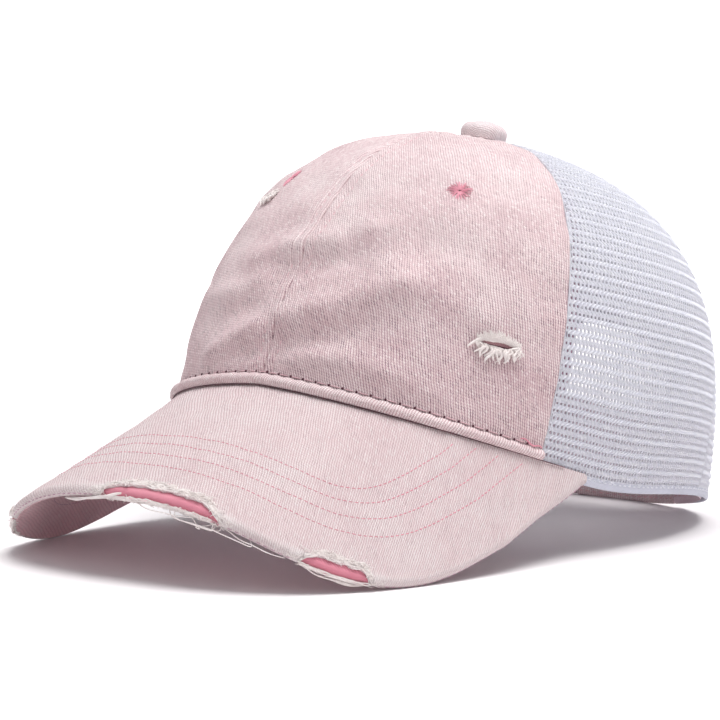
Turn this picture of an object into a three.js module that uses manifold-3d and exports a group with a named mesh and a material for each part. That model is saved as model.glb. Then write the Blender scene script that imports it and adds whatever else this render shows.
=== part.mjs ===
// A low six-panel ponytail cap: twill front panels and curved brim, mesh sides and
// back, and an arched opening at the back over an adjustable strap.
// Millimetres, +Z up, the brim towards -Y, the wearer's left towards +X.
// The cap is shaped in a frame of its own, whose z = 0 is the plane of the rear rim.
// It is then tipped so that it rests on the brim's two sides and the rear strap.

import * as THREE from 'three';
import { mergeVertices } from 'three/addons/utils/BufferGeometryUtils.js';
import Module from 'manifold-3d';

// Crown: an oval head opening under a dome whose top lies forward of the middle
const HALF_WIDTH = 84;
const HALF_LENGTH = 101;
const OVAL_POWER = 2.25;
const CROWN_HEIGHT = 107;
const APEX_FORWARD = 11.8;

// Each meridian is a Bezier quarter: lean of the wall, height of the wall, reach of the dome,
// as shares of the rim's distance and of the crown's height
const MERIDIANS = {
  front: { lean: -0.035, wall: 0.43, dome: 0.81 },
  side: { lean: 0.137, wall: 0.592, dome: 0.93 },
  back: { lean: -0.174, wall: 0.463, dome: 0.631 },
};

// Seams, in degrees round from the front middle
const FRONT_SEAM = 61.5;
const REAR_SEAM = 122.5;
const SEAM_LIFT = 0.5;
const SEAM_LIFT_WIDTH = 5;

// Soft dents and puffs of the washed front: place in degrees and share of the meridian,
// spread in degrees and share of the meridian, depth as a share of the crown's height.
// Below the sweatband's top the cloth only puffs out, where the depth is negative.
const DENTS = [
  { angle: 30, up: 0.42, spread: 15, tall: 0.055, depth: 0.014 },
  { angle: 11, up: 0.36, spread: 9, tall: 0.05, depth: 0.01 },
  { angle: 46, up: 0.55, spread: 13, tall: 0.07, depth: 0.007 },
  { angle: 38, up: 0.19, spread: 16, tall: 0.05, depth: -0.007 },
  { angle: 12, up: 0.12, spread: 12, tall: 0.05, depth: -0.008 },
  { angle: -16, up: 0.42, spread: 10, tall: 0.06, depth: 0.013 },
  { angle: -36, up: 0.37, spread: 12, tall: 0.05, depth: 0.011 },
  { angle: -14, up: 0.13, spread: 10, tall: 0.05, depth: -0.008 },
];

// Cloth walls and the clearance between pieces
const TWILL_WALL = 1.2;
const MESH_WALL = 1;
const TAPE_WALL = 1;
const BAND_WALL = 1.5;
const GAP = 0.3;

// Trims round the rim and the inside
const HEM_HEIGHT = 3.2;
const HEM_PROUD = 0.6;
const ROLL_HEIGHT = 4.2;
const ROLL_PROUD = 1.5;
const ROLL_EDGE = 0.3;
const SWEATBAND_HEIGHT = 28;
const TAPE_WIDTH = 10;
const TAPE_TOP_RADIUS = 10;
const TAPE_MOST_TURN = 26;
const CROWN_TOP_RADIUS = 3.5;

// Button on the apex: a skirt, a straight wall and a rounded shoulder, as shares of its size
const BUTTON_RADIUS = 8.2;
const BUTTON_HEIGHT = 7;
const BUTTON_SKIRT = 0.9;
const BUTTON_WALL = 0.45;
const BUTTON_SHOULDER = 0.4;

// Ventilation eyelets, one on each front panel
const EYELETS = {
  left: { angle: 33, climb: 91.3 },
  right: { angle: -25.5, climb: 90 },
};
const EYELET_RADIUS = 4.5;
const EYELET_BORE = 1.3;
const EYELET_RISE = 1;

// How far past the cloth the shapes that cut it reach
const CUT_REACH = 4;

// Frayed slits through the front panels
const SLITS = {
  left: { angle: 47.3, climb: 37, length: 12.5, width: 3.2, turn: 3 },
  right: { angle: -28, climb: 81, length: 7, width: 2.2, turn: -8 },
};

// Arched ponytail opening, as angles from the back middle and shares of the meridian
const ARCH_HALF_ANGLE = 20.3;
const ARCH_SPRING = 0.28;
const ARCH_TOP = 0.41;
const BINDING_WIDTH = 6.4;
const BINDING_LEG_SHARE = 0.3;
const STRAP_HEIGHT = 22;
const STRAP_WALL = 1.5;
const STRAP_OVERLAP = 9;

// Brim: a bent board, deepest at its two sides
const BRIM_LENGTH = 57.5;
const BRIM_OVERHANG = 4;
const BRIM_SHOULDER = 62;
const BRIM_CURVE = 2.77;
const BRIM_CORNER = 75;
const BRIM_CORNER_DROP = 7.8;
const BRIM_CORNER_POWER = 1.25;
const RIM_LEVEL_POWER = 6;
const BRIM_TIP_DROP = 47;
const BRIM_SLOPE = 0.53;
const BRIM_ARCH = 45.8;
const BRIM_ARCH_POWER = 2.68;
const BRIM_ROUND_SHARE = 0.91;
const BRIM_LEVEL_SHARE = 0.73;
const BRIM_HEEL = 2.5;
const BRIM_LEAST_SHARE = 0.3;
const BRIM_EASE = 20;
const BRIM_LIP = 1.1;
const EDGE_CREASE = 0.1;
const BRIM_CLOTH = 1;
const BRIM_BOARD = 1;
const BRIM_GAP = 0.4;

// Torn places on the brim's edge: span as shares of the half edge, -1 to 1,
// and how far the cloth is torn back, as a share of the brim's length
const BRIM_TEARS = [
  { from: -0.04, to: 0.215, depth: 0.085 },
  { from: 0.35, to: 0.475, depth: 0.08 },
  { from: -0.43, to: -0.32, depth: 0.06 },
];

// How deep the cloth flattens where it rests
const REST_FLAT = 0.5;

// Meshing: columns and rows of each cloth
const FRONT_GRID = [10, 18];
const MESH_GRID = [9, 14];
const BRIM_COLUMNS = 56;
const ROLL_GRID = [36, 3];
const TAPE_GRID = [2, 12];
const HEM_COLUMNS = 24;
const STRAP_GRID = [10, 2];
const BAND_GRID = [56, 2];
const ARCH_GRID = [24, 8];
const ARC_STEPS = 40;
const EDGE_STEPS = 176;
const EYELET_SIDES = 6;
const EYELET_SEGMENTS = 14;
const BUTTON_SEGMENTS = 20;
const SHOULDER_STEPS = 5;
const SLIT_STEPS = 6;

const TWILL = { color: 0xe4ccd1, roughness: 0.92, metalness: 0 };
const MESH_CLOTH = { color: 0xe6e6ef, roughness: 0.85, metalness: 0 };
const ROSE = { color: 0xdc8ca0, roughness: 0.6, metalness: 0 };

const RIM_DEPTH = 2 * BRIM_CLOTH + BRIM_BOARD + 2 * BRIM_GAP;
const SIDES = { left: 1, right: -1 };

const wasm = await Module();
wasm.setup();

const radians = THREE.MathUtils.degToRad;
const lerp = THREE.MathUtils.lerp;
const clamp = THREE.MathUtils.clamp;

// Degrees away from the front middle, 0 to 180
function fromFront(angle) {
  const turned = Math.abs(angle) % 360;
  return turned > 180 ? 360 - turned : turned;
}

// Height of the rim: lowest at the brim's corners, level along the rear
function rimHeight(angle) {
  const away = fromFront(angle);
  if (away <= BRIM_CORNER) {
    const share = Math.sin((away / BRIM_CORNER) * Math.PI / 2);
    return -RIM_DEPTH - BRIM_CORNER_DROP * share ** BRIM_CORNER_POWER;
  }
  const share = (away - BRIM_CORNER) / (180 - BRIM_CORNER);
  return -(RIM_DEPTH + BRIM_CORNER_DROP) * Math.cos(share * Math.PI / 2) ** RIM_LEVEL_POWER;
}

function rimPoint(angle) {
  const sine = Math.sin(radians(angle));
  const cosine = Math.cos(radians(angle));
  const across = Math.abs(sine / HALF_WIDTH) ** OVAL_POWER;
  const along = Math.abs(cosine / HALF_LENGTH) ** OVAL_POWER;
  const radius = (across + along) ** (-1 / OVAL_POWER);
  return new THREE.Vector3(radius * sine, -radius * cosine, rimHeight(angle));
}

function bezier(start, near, far, end, share) {
  const rest = 1 - share;
  return start * rest ** 3 + 3 * near * share * rest ** 2 + 3 * far * share ** 2 * rest + end * share ** 3;
}

// A point of the crown's outer surface: the angle round, and 0 at the rim to 1 at the apex
function crownPoint(angle, share) {
  const cosine = Math.cos(radians(angle));
  const front = Math.max(cosine, 0) ** 2;
  const back = Math.max(-cosine, 0) ** 2;
  const mixed = (key) => MERIDIANS.front[key] * front + MERIDIANS.back[key] * back
    + MERIDIANS.side[key] * (1 - front - back);
  const outward = bezier(1, 1 + mixed('lean'), mixed('dome'), 0, share);
  const upward = bezier(0, mixed('wall'), 1, 1, share);
  const rim = rimPoint(angle);
  return new THREE.Vector3(
    rim.x * outward,
    lerp(-APEX_FORWARD, rim.y, outward),
    lerp(rim.z, CROWN_HEIGHT, upward),
  );
}

// The share of the meridian at a length in millimetres up from the rim
function climb(angle, length) {
  const step = 1 / 200;
  let gone = 0;
  let last = crownPoint(angle, 0);
  for (let share = step; share < 1; share += step) {
    const next = crownPoint(angle, share);
    const stride = next.distanceTo(last);
    if (gone + stride >= length) {
      return share - step + step * (length - gone) / stride;
    }
    gone += stride;
    last = next;
  }
  return 1;
}

// The share of the meridian at which it is a given distance from the apex in plan
function nearApex(angle, radius) {
  let low = 0.5;
  let high = 1;
  for (let turn = 0; turn < 30; turn += 1) {
    const middle = (low + high) / 2;
    const point = crownPoint(angle, middle);
    if (Math.hypot(point.x, point.y + APEX_FORWARD) > radius) low = middle;
    else high = middle;
  }
  return low;
}

// Degrees round the crown that span a length there
function turnFor(length, angle, share) {
  const point = crownPoint(angle, share);
  return THREE.MathUtils.radToDeg(length / Math.hypot(point.x, point.y + APEX_FORWARD));
}

// How far the washed front stands out of its smooth form. The side seams hold it flat.
function relief(angle, share) {
  const held = Math.min(Math.abs(angle) / FRONT_SEAM, 1) ** 4;
  let height = 0;
  for (const dent of DENTS) {
    const aside = (angle - dent.angle) / dent.spread;
    const above = (share - dent.up) / dent.tall;
    height -= dent.depth * CROWN_HEIGHT * Math.exp(-aside * aside - above * above);
  }
  height *= 1 - held;
  const width = turnFor(SEAM_LIFT_WIDTH, angle, share);
  return height + SEAM_LIFT * Math.exp(-((angle / width) ** 2));
}

// Outward normal of a surface at a place in its unit square
function normalAt(surface, u, v) {
  const step = 1e-3;
  const across = surface(Math.min(u + step, 1), v).sub(surface(Math.max(u - step, 0), v));
  const up = surface(u, Math.min(v + step, 1)).sub(surface(u, Math.max(v - step, 0)));
  return across.cross(up).normalize();
}

// A closed wall of cloth between two offsets from a surface over the unit square.
// Each of its four-sided cells is split along the shorter diagonal.
function cloth(surface, columns, rows, inner, outer, direction = null) {
  const outward = direction ?? ((u, v) => normalAt(surface, u, v));
  const offset = (value, u, v) => (typeof value === 'function' ? value(u, v) : value);
  const positions = [];
  const index = [];
  const layer = (columns + 1) * (rows + 1);
  for (const wanted of [outer, inner]) {
    for (let row = 0; row <= rows; row += 1) {
      for (let column = 0; column <= columns; column += 1) {
        const u = column / columns;
        const v = row / rows;
        const point = surface(u, v).addScaledVector(outward(u, v), offset(wanted, u, v));
        positions.push(point.x, point.y, point.z);
      }
    }
  }
  const at = (column, row) => row * (columns + 1) + column;
  const corner = (place) => new THREE.Vector3().fromArray(positions, 3 * place);
  const length = (from, to) => corner(from).distanceTo(corner(to));
  const quad = (a, b, c, d) => index.push(a, b, c, a, c, d);
  for (let row = 0; row < rows; row += 1) {
    for (let column = 0; column < columns; column += 1) {
      const a = at(column, row);
      const b = at(column + 1, row);
      const c = at(column + 1, row + 1);
      const d = at(column, row + 1);
      if (length(a, c) < length(b, d)) {
        quad(a, b, c, d);
        quad(layer + c, layer + b, layer + a, layer + d);
      } else {
        quad(b, c, d, a);
        quad(layer + b, layer + a, layer + d, layer + c);
      }
    }
  }
  for (let column = 0; column < columns; column += 1) {
    const low = [at(column, 0), at(column + 1, 0)];
    const high = [at(column, rows), at(column + 1, rows)];
    quad(layer + low[0], layer + low[1], low[1], low[0]);
    quad(high[0], high[1], layer + high[1], layer + high[0]);
  }
  for (let row = 0; row < rows; row += 1) {
    const first = [at(0, row), at(0, row + 1)];
    const last = [at(columns, row), at(columns, row + 1)];
    quad(first[0], first[1], layer + first[1], layer + first[0]);
    quad(layer + last[0], layer + last[1], last[1], last[0]);
  }
  const geometry = new THREE.BufferGeometry();
  geometry.setAttribute('position', new THREE.Float32BufferAttribute(positions, 3));
  geometry.setIndex(index);
  return geometry;
}

// A stretch of the crown between two angles and two lengths or shares up the meridian.
// The edges along the meridians stand back by half a gap, so that neighbours stay clear.
function crownPatch(fromAngle, toAngle, lowShare, highShare, standBack = GAP / 2) {
  return (u, v) => {
    const angle = lerp(fromAngle, toAngle, u);
    const share = lerp(lowShare(angle), highShare(angle), v);
    const inset = turnFor(standBack, angle, share);
    return crownPoint(lerp(fromAngle + inset, toAngle - inset, u), share);
  };
}

function toSolid(geometry) {
  const bare = geometry.clone();
  bare.deleteAttribute('normal');
  bare.deleteAttribute('uv');
  const merged = mergeVertices(bare, 1e-4);
  return new wasm.Manifold(new wasm.Mesh({
    numProp: 3,
    vertProperties: new Float32Array(merged.attributes.position.array),
    triVerts: new Uint32Array(merged.index.array),
  }));
}

function fromSolid(solid) {
  const mesh = solid.getMesh();
  const geometry = new THREE.BufferGeometry();
  geometry.setAttribute('position', new THREE.Float32BufferAttribute(mesh.vertProperties, 3));
  geometry.setIndex(Array.from(mesh.triVerts));
  return geometry;
}

function cut(geometry, ...tools) {
  return tools.reduce((solid, tool) => solid.subtract(toSolid(tool)), toSolid(geometry));
}

// A place on the crown with x along the rim, y up the meridian and z outward
function crownFrame(angle, length) {
  const share = climb(angle, length);
  const origin = crownPoint(angle, share);
  const along = crownPoint(angle + 0.5, share).sub(crownPoint(angle - 0.5, share)).normalize();
  const up = crownPoint(angle, share + 0.005).sub(crownPoint(angle, share - 0.005)).normalize();
  const out = along.clone().cross(up).normalize();
  up.crossVectors(out, along);
  return new THREE.Matrix4().makeBasis(along, up, out).setPosition(origin);
}

// A lens-shaped plug that cuts a frayed slit
function slitTool({ angle, climb: length, length: long, width, turn }) {
  const outline = new THREE.Shape();
  outline.moveTo(-long / 2, 0);
  outline.quadraticCurveTo(0, width, long / 2, 0);
  outline.quadraticCurveTo(0, -width, -long / 2, 0);
  const options = { depth: 2 * CUT_REACH, bevelEnabled: false, curveSegments: SLIT_STEPS };
  const plug = new THREE.ExtrudeGeometry(outline, options);
  plug.translate(0, 0, -CUT_REACH);
  plug.rotateZ(radians(turn));
  return plug.applyMatrix4(crownFrame(angle, length));
}

function eyeletTool({ angle, climb: length }) {
  const plug = new THREE.CylinderGeometry(EYELET_BORE, EYELET_BORE, 2 * CUT_REACH, EYELET_SEGMENTS);
  plug.rotateX(Math.PI / 2);
  return plug.applyMatrix4(crownFrame(angle, length));
}

// One twill front panel with its slit and eyelet hole
function frontPanel(side) {
  const [fromAngle, toAngle] = side === 'left' ? [0, FRONT_SEAM] : [-FRONT_SEAM, 0];
  const low = () => 0;
  const high = (angle) => nearApex(angle, CROWN_TOP_RADIUS);
  const patch = crownPatch(fromAngle, toAngle, low, high);
  const raised = (u, v) => {
    const angle = lerp(fromAngle, toAngle, u);
    return relief(angle, lerp(0, high(angle), v));
  };
  const backed = (u, v) => raised(u, v) - TWILL_WALL;
  const wall = cloth(patch, ...FRONT_GRID, backed, raised);
  return fromSolid(cut(wall, slitTool(SLITS[side]), eyeletTool(EYELETS[side])));
}

// An embroidered ring that lies on the panel round its hole
function eyelet(side) {
  const middle = (EYELET_RADIUS + EYELET_BORE) / 2;
  const spread = (EYELET_RADIUS - EYELET_BORE) / 2;
  const profile = [];
  for (let step = 0; step <= EYELET_SIDES; step += 1) {
    const turn = (step % EYELET_SIDES) * 2 * Math.PI / EYELET_SIDES;
    profile.push(new THREE.Vector2(middle + spread * Math.cos(turn), (EYELET_RISE / 2) * Math.sin(turn)));
  }
  const ring = new THREE.LatheGeometry(profile, EYELET_SEGMENTS);
  ring.rotateX(Math.PI / 2);
  const { angle, climb: length } = EYELETS[side];
  const lift = relief(angle, climb(angle, length)) + GAP + EYELET_RISE / 2;
  ring.translate(0, 0, lift);
  return ring.applyMatrix4(crownFrame(angle, length));
}

// The arched opening, grown by a length on the cloth, as a thick plug through the back
function archTop(offAngle, halfAngle, top) {
  const reach = clamp(offAngle / halfAngle, -1, 1);
  return lerp(ARCH_SPRING, top, Math.sqrt(1 - reach * reach));
}

function archOutline(grown) {
  const topMiddle = climbLength(180, ARCH_TOP) + grown;
  return {
    halfAngle: ARCH_HALF_ANGLE + turnFor(grown, 180 - ARCH_HALF_ANGLE, ARCH_SPRING),
    top: climb(180, topMiddle),
  };
}

// Length of the meridian from the rim up to a share of it
function climbLength(angle, share) {
  let length = 0;
  let last = crownPoint(angle, 0);
  for (let step = 1; step <= ARC_STEPS; step += 1) {
    const next = crownPoint(angle, share * step / ARC_STEPS);
    length += next.distanceTo(last);
    last = next;
  }
  return length;
}

function archTool(grown) {
  const { halfAngle, top } = archOutline(grown);
  const foot = -CUT_REACH / climbLength(180, 1);
  const patch = (u, v) => {
    const turn = lerp(-Math.PI / 2, Math.PI / 2, u);
    const offAngle = halfAngle * Math.sin(turn);
    return crownPoint(180 + offAngle, lerp(foot, archTop(offAngle, halfAngle, top), v));
  };
  return cloth(patch, ...ARCH_GRID, -CUT_REACH, CUT_REACH);
}

// One mesh panel between two seams, clear of the hem below it
function meshPanel(fromAngle, toAngle) {
  const low = (angle) => climb(angle, HEM_HEIGHT + GAP);
  const high = (angle) => nearApex(angle, CROWN_TOP_RADIUS);
  return cloth(crownPatch(fromAngle, toAngle, low, high), ...MESH_GRID, -MESH_WALL, 0);
}

function backPanel(fromAngle, toAngle) {
  return fromSolid(cut(meshPanel(fromAngle, toAngle), archTool(BINDING_WIDTH + GAP)));
}

// The folded hem under the mesh, from the front seam to the binding of the opening
function meshHem(side) {
  const { halfAngle } = archOutline(BINDING_WIDTH + GAP);
  const ends = [FRONT_SEAM, 180 - halfAngle].map((angle) => SIDES[side] * angle).sort((a, b) => a - b);
  const patch = crownPatch(...ends, () => 0, (angle) => climb(angle, HEM_HEIGHT));
  return cloth(patch, HEM_COLUMNS, 1, -MESH_WALL - GAP / 2, HEM_PROUD);
}

// The binding of the opening: up one leg, over the arch and down the other
function archBinding() {
  const innerOutline = archOutline(GAP / 2);
  const outerOutline = archOutline(BINDING_WIDTH);
  const place = ({ halfAngle, top }, u) => {
    const side = u < 0.5 ? -1 : 1;
    const fromEnd = 0.5 - Math.abs(u - 0.5);
    if (fromEnd < BINDING_LEG_SHARE) {
      return [side * halfAngle, lerp(0, ARCH_SPRING, fromEnd / BINDING_LEG_SHARE)];
    }
    const turn = ((fromEnd - BINDING_LEG_SHARE) / (0.5 - BINDING_LEG_SHARE)) * Math.PI / 2;
    return [side * halfAngle * Math.cos(turn), lerp(ARCH_SPRING, top, Math.sin(turn))];
  };
  const patch = (u, v) => {
    const [innerAngle, innerShare] = place(innerOutline, u);
    const [outerAngle, outerShare] = place(outerOutline, u);
    return crownPoint(180 + lerp(outerAngle, innerAngle, v), lerp(outerShare, innerShare, v));
  };
  return cloth(patch, ARC_STEPS, 1, -MESH_WALL - GAP / 2, HEM_PROUD);
}

// The inner band, from one side of the opening round the front to the other
function sweatband() {
  const end = 180 - ARCH_HALF_ANGLE;
  const patch = crownPatch(-end, end, () => 0, (angle) => climb(angle, SWEATBAND_HEIGHT));
  const outer = -TWILL_WALL - GAP;
  return cloth(patch, ...BAND_GRID, outer - BAND_WALL, outer);
}

// Straps that overlap below the opening: the left one lies inside the right one
function strap(side) {
  const ends = {
    left: [180 - ARCH_HALF_ANGLE, 180 + STRAP_OVERLAP],
    right: [180 - STRAP_OVERLAP, 180 + ARCH_HALF_ANGLE],
  };
  const outer = { left: -TWILL_WALL - GAP, right: -TWILL_WALL + STRAP_WALL };
  const patch = crownPatch(...ends[side], () => 0, (angle) => climb(angle, STRAP_HEIGHT));
  return cloth(patch, ...STRAP_GRID, outer[side] - STRAP_WALL, outer[side]);
}

// A tape inside, over a seam, from the sweatband to the gathering at the top
function tape(seamAngle, backing) {
  const low = fromFront(seamAngle) === 180
    ? archOutline(BINDING_WIDTH + GAP).top
    : climb(seamAngle, SWEATBAND_HEIGHT + 2 * GAP);
  const high = nearApex(seamAngle, TAPE_TOP_RADIUS);
  const place = (u, v) => {
    const share = lerp(low, high, v);
    const half = Math.min(turnFor(TAPE_WIDTH / 2, seamAngle, share), TAPE_MOST_TURN);
    return [seamAngle + lerp(-half, half, u), share];
  };
  const outer = (u, v) => relief(...place(u, v)) - backing - GAP;
  const patch = (u, v) => crownPoint(...place(u, v));
  return cloth(patch, ...TAPE_GRID, (u, v) => outer(u, v) - TAPE_WALL, outer);
}

// The puffed roll that closes the front panels above the brim
function baseRoll() {
  const low = (angle) => climb(angle, RIM_DEPTH + GAP);
  const high = (angle) => climb(angle, RIM_DEPTH + GAP + ROLL_HEIGHT);
  const patch = crownPatch(-FRONT_SEAM, FRONT_SEAM, low, high);
  const skin = SEAM_LIFT + GAP;
  const puffed = (u, v) => skin + ROLL_EDGE + ROLL_PROUD * Math.sin(Math.PI * v);
  return cloth(patch, ...ROLL_GRID, skin, puffed);
}

function topButton() {
  const profile = [new THREE.Vector2(0, 0), new THREE.Vector2(BUTTON_RADIUS * BUTTON_SKIRT, 0)];
  for (let step = 0; step <= SHOULDER_STEPS; step += 1) {
    const turn = (step / SHOULDER_STEPS) * Math.PI / 2;
    profile.push(new THREE.Vector2(
      BUTTON_RADIUS * (1 - BUTTON_SHOULDER * (1 - Math.cos(turn))),
      BUTTON_HEIGHT * (BUTTON_WALL + BUTTON_SHOULDER * Math.sin(turn)),
    ));
  }
  profile.push(new THREE.Vector2(0, BUTTON_HEIGHT));
  const button = new THREE.LatheGeometry(profile, BUTTON_SEGMENTS);
  button.rotateX(Math.PI / 2);
  button.translate(0, -APEX_FORWARD, CROWN_HEIGHT + GAP + SEAM_LIFT);
  return button;
}

// Height of the bent board that the brim's edge follows
function boardHeight(x, y) {
  const tip = -(HALF_LENGTH + BRIM_LENGTH);
  const aside = Math.abs(x) / (HALF_WIDTH + BRIM_OVERHANG);
  return -BRIM_TIP_DROP + BRIM_SLOPE * (y - tip) - BRIM_ARCH * aside ** BRIM_ARCH_POWER;
}

// The board's underside faces this way
function boardDown(x, y) {
  const step = 0.5;
  const acrossFall = (boardHeight(x + step, y) - boardHeight(x - step, y)) / (2 * step);
  const alongFall = (boardHeight(x, y + step) - boardHeight(x, y - step)) / (2 * step);
  return new THREE.Vector3(acrossFall, alongFall, -1).normalize();
}

// Where the brim meets the crown, just outside the hem and the panels
function brimRoot(angle) {
  const seat = crownPoint(angle, climb(angle, RIM_DEPTH));
  const outward = new THREE.Vector3(seat.x, seat.y, 0).normalize();
  return seat.addScaledVector(outward, HEM_PROUD + GAP);
}

// The outer edge from corner to corner: a round front and two short straight sides
function brimEdge() {
  const halfWidth = HALF_WIDTH + BRIM_OVERHANG;
  const reach = HALF_LENGTH + BRIM_LENGTH - BRIM_SHOULDER;
  const corner = brimRoot(BRIM_CORNER);
  const lift = corner.z - boardHeight(corner.x, corner.y);
  const points = [];
  for (let step = -EDGE_STEPS; step <= EDGE_STEPS; step += 1) {
    const share = Math.abs(step) / EDGE_STEPS;
    const turn = Math.min(share / BRIM_ROUND_SHARE, 1) * Math.PI / 2;
    const straight = Math.max(share - BRIM_ROUND_SHARE, 0) / (1 - BRIM_ROUND_SHARE);
    const x = lerp(halfWidth * Math.sin(turn) ** (2 / BRIM_CURVE), corner.x, straight);
    const y = lerp(-BRIM_SHOULDER - reach * Math.cos(turn) ** (2 / BRIM_CURVE), corner.y, straight);
    const ease = Math.max(share - BRIM_LEVEL_SHARE, 0) / (1 - BRIM_LEVEL_SHARE);
    points.push(new THREE.Vector3(Math.sign(step) * x, y, boardHeight(x, y) + lift * ease * ease));
  }
  return new THREE.CatmullRomCurve3(points).getSpacedPoints(EDGE_STEPS);
}

const EDGE = brimEdge();

function edgePoint(side) {
  const place = (side + 1) / 2 * (EDGE.length - 1);
  const whole = Math.min(Math.floor(place), EDGE.length - 2);
  return EDGE[whole].clone().lerp(EDGE[whole + 1], place - whole);
}

// How far the cloth is torn back from the edge
function tornBack(side) {
  let depth = 0;
  for (const tear of BRIM_TEARS) {
    const middle = (tear.from + tear.to) / 2;
    const off = (side - middle) / ((tear.to - tear.from) / 2);
    if (Math.abs(off) < 1) depth = tear.depth * BRIM_LENGTH * (1 - off ** 4);
  }
  return depth;
}

// A layer of the brim, between two depths below its top. It stops short of the edge by a
// length, and a turned edge closes the layer's front down to the brim's full depth.
// Its rows lie at the root, where the wall has eased round to the board, halfway and in front.
function brimLayer({ top, thickness, shortBy, heel = BRIM_HEEL, turnedEdge = false }) {
  const column = 2 / BRIM_COLUMNS;
  const whole = (side) => [-1, 0, 1].every((step) => tornBack(side + step * column) === 0);
  const ends = (side) => [brimRoot(side * (BRIM_CORNER - heel)), edgePoint(side)];
  const frontRows = turnedEdge ? [BRIM_LIP + EDGE_CREASE, BRIM_LIP, 0] : [0];
  const rows = frontRows.length + 2;
  const distance = (width, row) => {
    const eased = Math.min(BRIM_EASE, width / 2);
    return [0, eased, (eased + width) / 2, ...frontRows.map((back) => width - back)][row];
  };
  const place = (u, v) => {
    const [root, edge] = ends(2 * u - 1);
    const reach = root.distanceTo(edge);
    const width = Math.max(reach - shortBy(2 * u - 1), reach * BRIM_LEAST_SHARE);
    const out = distance(width, Math.round(v * rows));
    return { point: root.lerp(edge, out / reach), out };
  };
  const surface = (u, v) => place(u, v).point;
  const down = (u, v) => {
    const { point, out } = place(u, v);
    const level = new THREE.Vector3(0, 0, -1);
    return level.lerp(boardDown(point.x, point.y), Math.min(out / BRIM_EASE, 1)).normalize();
  };
  const bottom = (u, v) => {
    const turned = turnedEdge && v * rows > 3.5 && whole(2 * u - 1);
    return turned ? RIM_DEPTH : top + thickness;
  };
  return cloth(surface, BRIM_COLUMNS, rows, top, bottom, down);
}

function brimPieces() {
  const under = RIM_DEPTH - BRIM_CLOTH;
  const inside = BRIM_LIP + EDGE_CREASE + BRIM_GAP;
  const bared = (side) => Math.max(inside - tornBack(side), 0);
  return {
    brim_upper: brimLayer({
      top: 0,
      thickness: BRIM_CLOTH,
      shortBy: tornBack,
      turnedEdge: true,
    }),
    brim_inlay: brimLayer({
      top: BRIM_CLOTH + BRIM_GAP,
      thickness: BRIM_BOARD,
      shortBy: bared,
    }),
    brim_under: brimLayer({
      top: under,
      thickness: BRIM_CLOTH,
      shortBy: (side) => inside + tornBack(side) / 2,
      heel: 1.5 * BRIM_HEEL,
    }),
  };
}

// Lowest height of a cloth once the cap is tipped back by an angle
function lowest(geometry, tilt) {
  const place = geometry.attributes.position;
  let low = Infinity;
  for (let index = 0; index < place.count; index += 1) {
    low = Math.min(low, place.getZ(index) * Math.cos(tilt) - place.getY(index) * Math.sin(tilt));
  }
  return low;
}

// The angle at which the brim and the rear straps touch the same floor
function restTilt(brim, rear) {
  let low = 0;
  let high = Math.PI / 4;
  for (let turn = 0; turn < 40; turn += 1) {
    const middle = (low + high) / 2;
    if (lowest(brim, middle) < lowest(rear, middle)) low = middle;
    else high = middle;
  }
  return low;
}

// Flattens what would reach below the floor
function trimFlat(geometry, cap) {
  const size = 4 * HALF_LENGTH;
  const slab = new THREE.BoxGeometry(size, size, size);
  slab.translate(0, 0, -size / 2);
  slab.applyMatrix4(cap.matrixWorld.clone().invert());
  return fromSolid(cut(geometry, slab));
}

function buildPieces() {
  const pieces = [];
  const add = (name, geometry, finish) => pieces.push({ name, geometry, finish });
  for (const side of Object.keys(SIDES)) {
    const seams = [FRONT_SEAM, REAR_SEAM, 180].map((angle) => SIDES[side] * angle);
    const between = (first) => [seams[first], seams[first + 1]].sort((a, b) => a - b);
    add(`front_panel_${side}`, frontPanel(side), TWILL);
    add(`side_mesh_${side}`, meshPanel(...between(0)), MESH_CLOTH);
    add(`back_mesh_${side}`, backPanel(...between(1)), MESH_CLOTH);
    add(`mesh_hem_${side}`, meshHem(side), MESH_CLOTH);
    add(`eyelet_${side}`, eyelet(side), ROSE);
    add(`strap_${side}`, strap(side), TWILL);
    add(`side_tape_${side}`, tape(seams[0], TWILL_WALL), MESH_CLOTH);
    add(`rear_tape_${side}`, tape(seams[1], MESH_WALL), MESH_CLOTH);
  }
  add('front_tape', tape(0, TWILL_WALL), MESH_CLOTH);
  add('back_tape', tape(180, MESH_WALL), MESH_CLOTH);
  add('base_roll', baseRoll(), TWILL);
  add('sweatband', sweatband(), TWILL);
  add('arch_binding', archBinding(), MESH_CLOTH);
  add('top_button', topButton(), TWILL);
  for (const [name, geometry] of Object.entries(brimPieces())) {
    add(name, geometry, name === 'brim_inlay' ? ROSE : TWILL);
  }
  return pieces;
}

function buildCap() {
  const pieces = buildPieces();
  const named = Object.fromEntries(pieces.map(({ name, geometry }) => [name, geometry]));
  const cap = new THREE.Group();
  const tilt = restTilt(named.brim_upper, named.strap_left);
  const floor = lowest(named.brim_upper, tilt) + REST_FLAT;
  const box = new THREE.Box3();
  for (const { geometry } of pieces) {
    const tipped = geometry.clone().rotateX(-tilt);
    tipped.computeBoundingBox();
    box.union(tipped.boundingBox);
  }
  cap.rotation.x = -tilt;
  cap.position.set(0, -(box.min.y + box.max.y) / 2, -floor);
  cap.updateMatrixWorld(true);
  for (const { name, geometry, finish } of pieces) {
    const touches = lowest(geometry, tilt) < floor;
    const shape = touches ? trimFlat(geometry, cap) : geometry;
    const mesh = new THREE.Mesh(shape, new THREE.MeshStandardMaterial(finish));
    mesh.name = name;
    cap.add(mesh);
  }
  const part = new THREE.Group();
  part.add(cap);
  return part;
}

export default buildCap();
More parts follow.
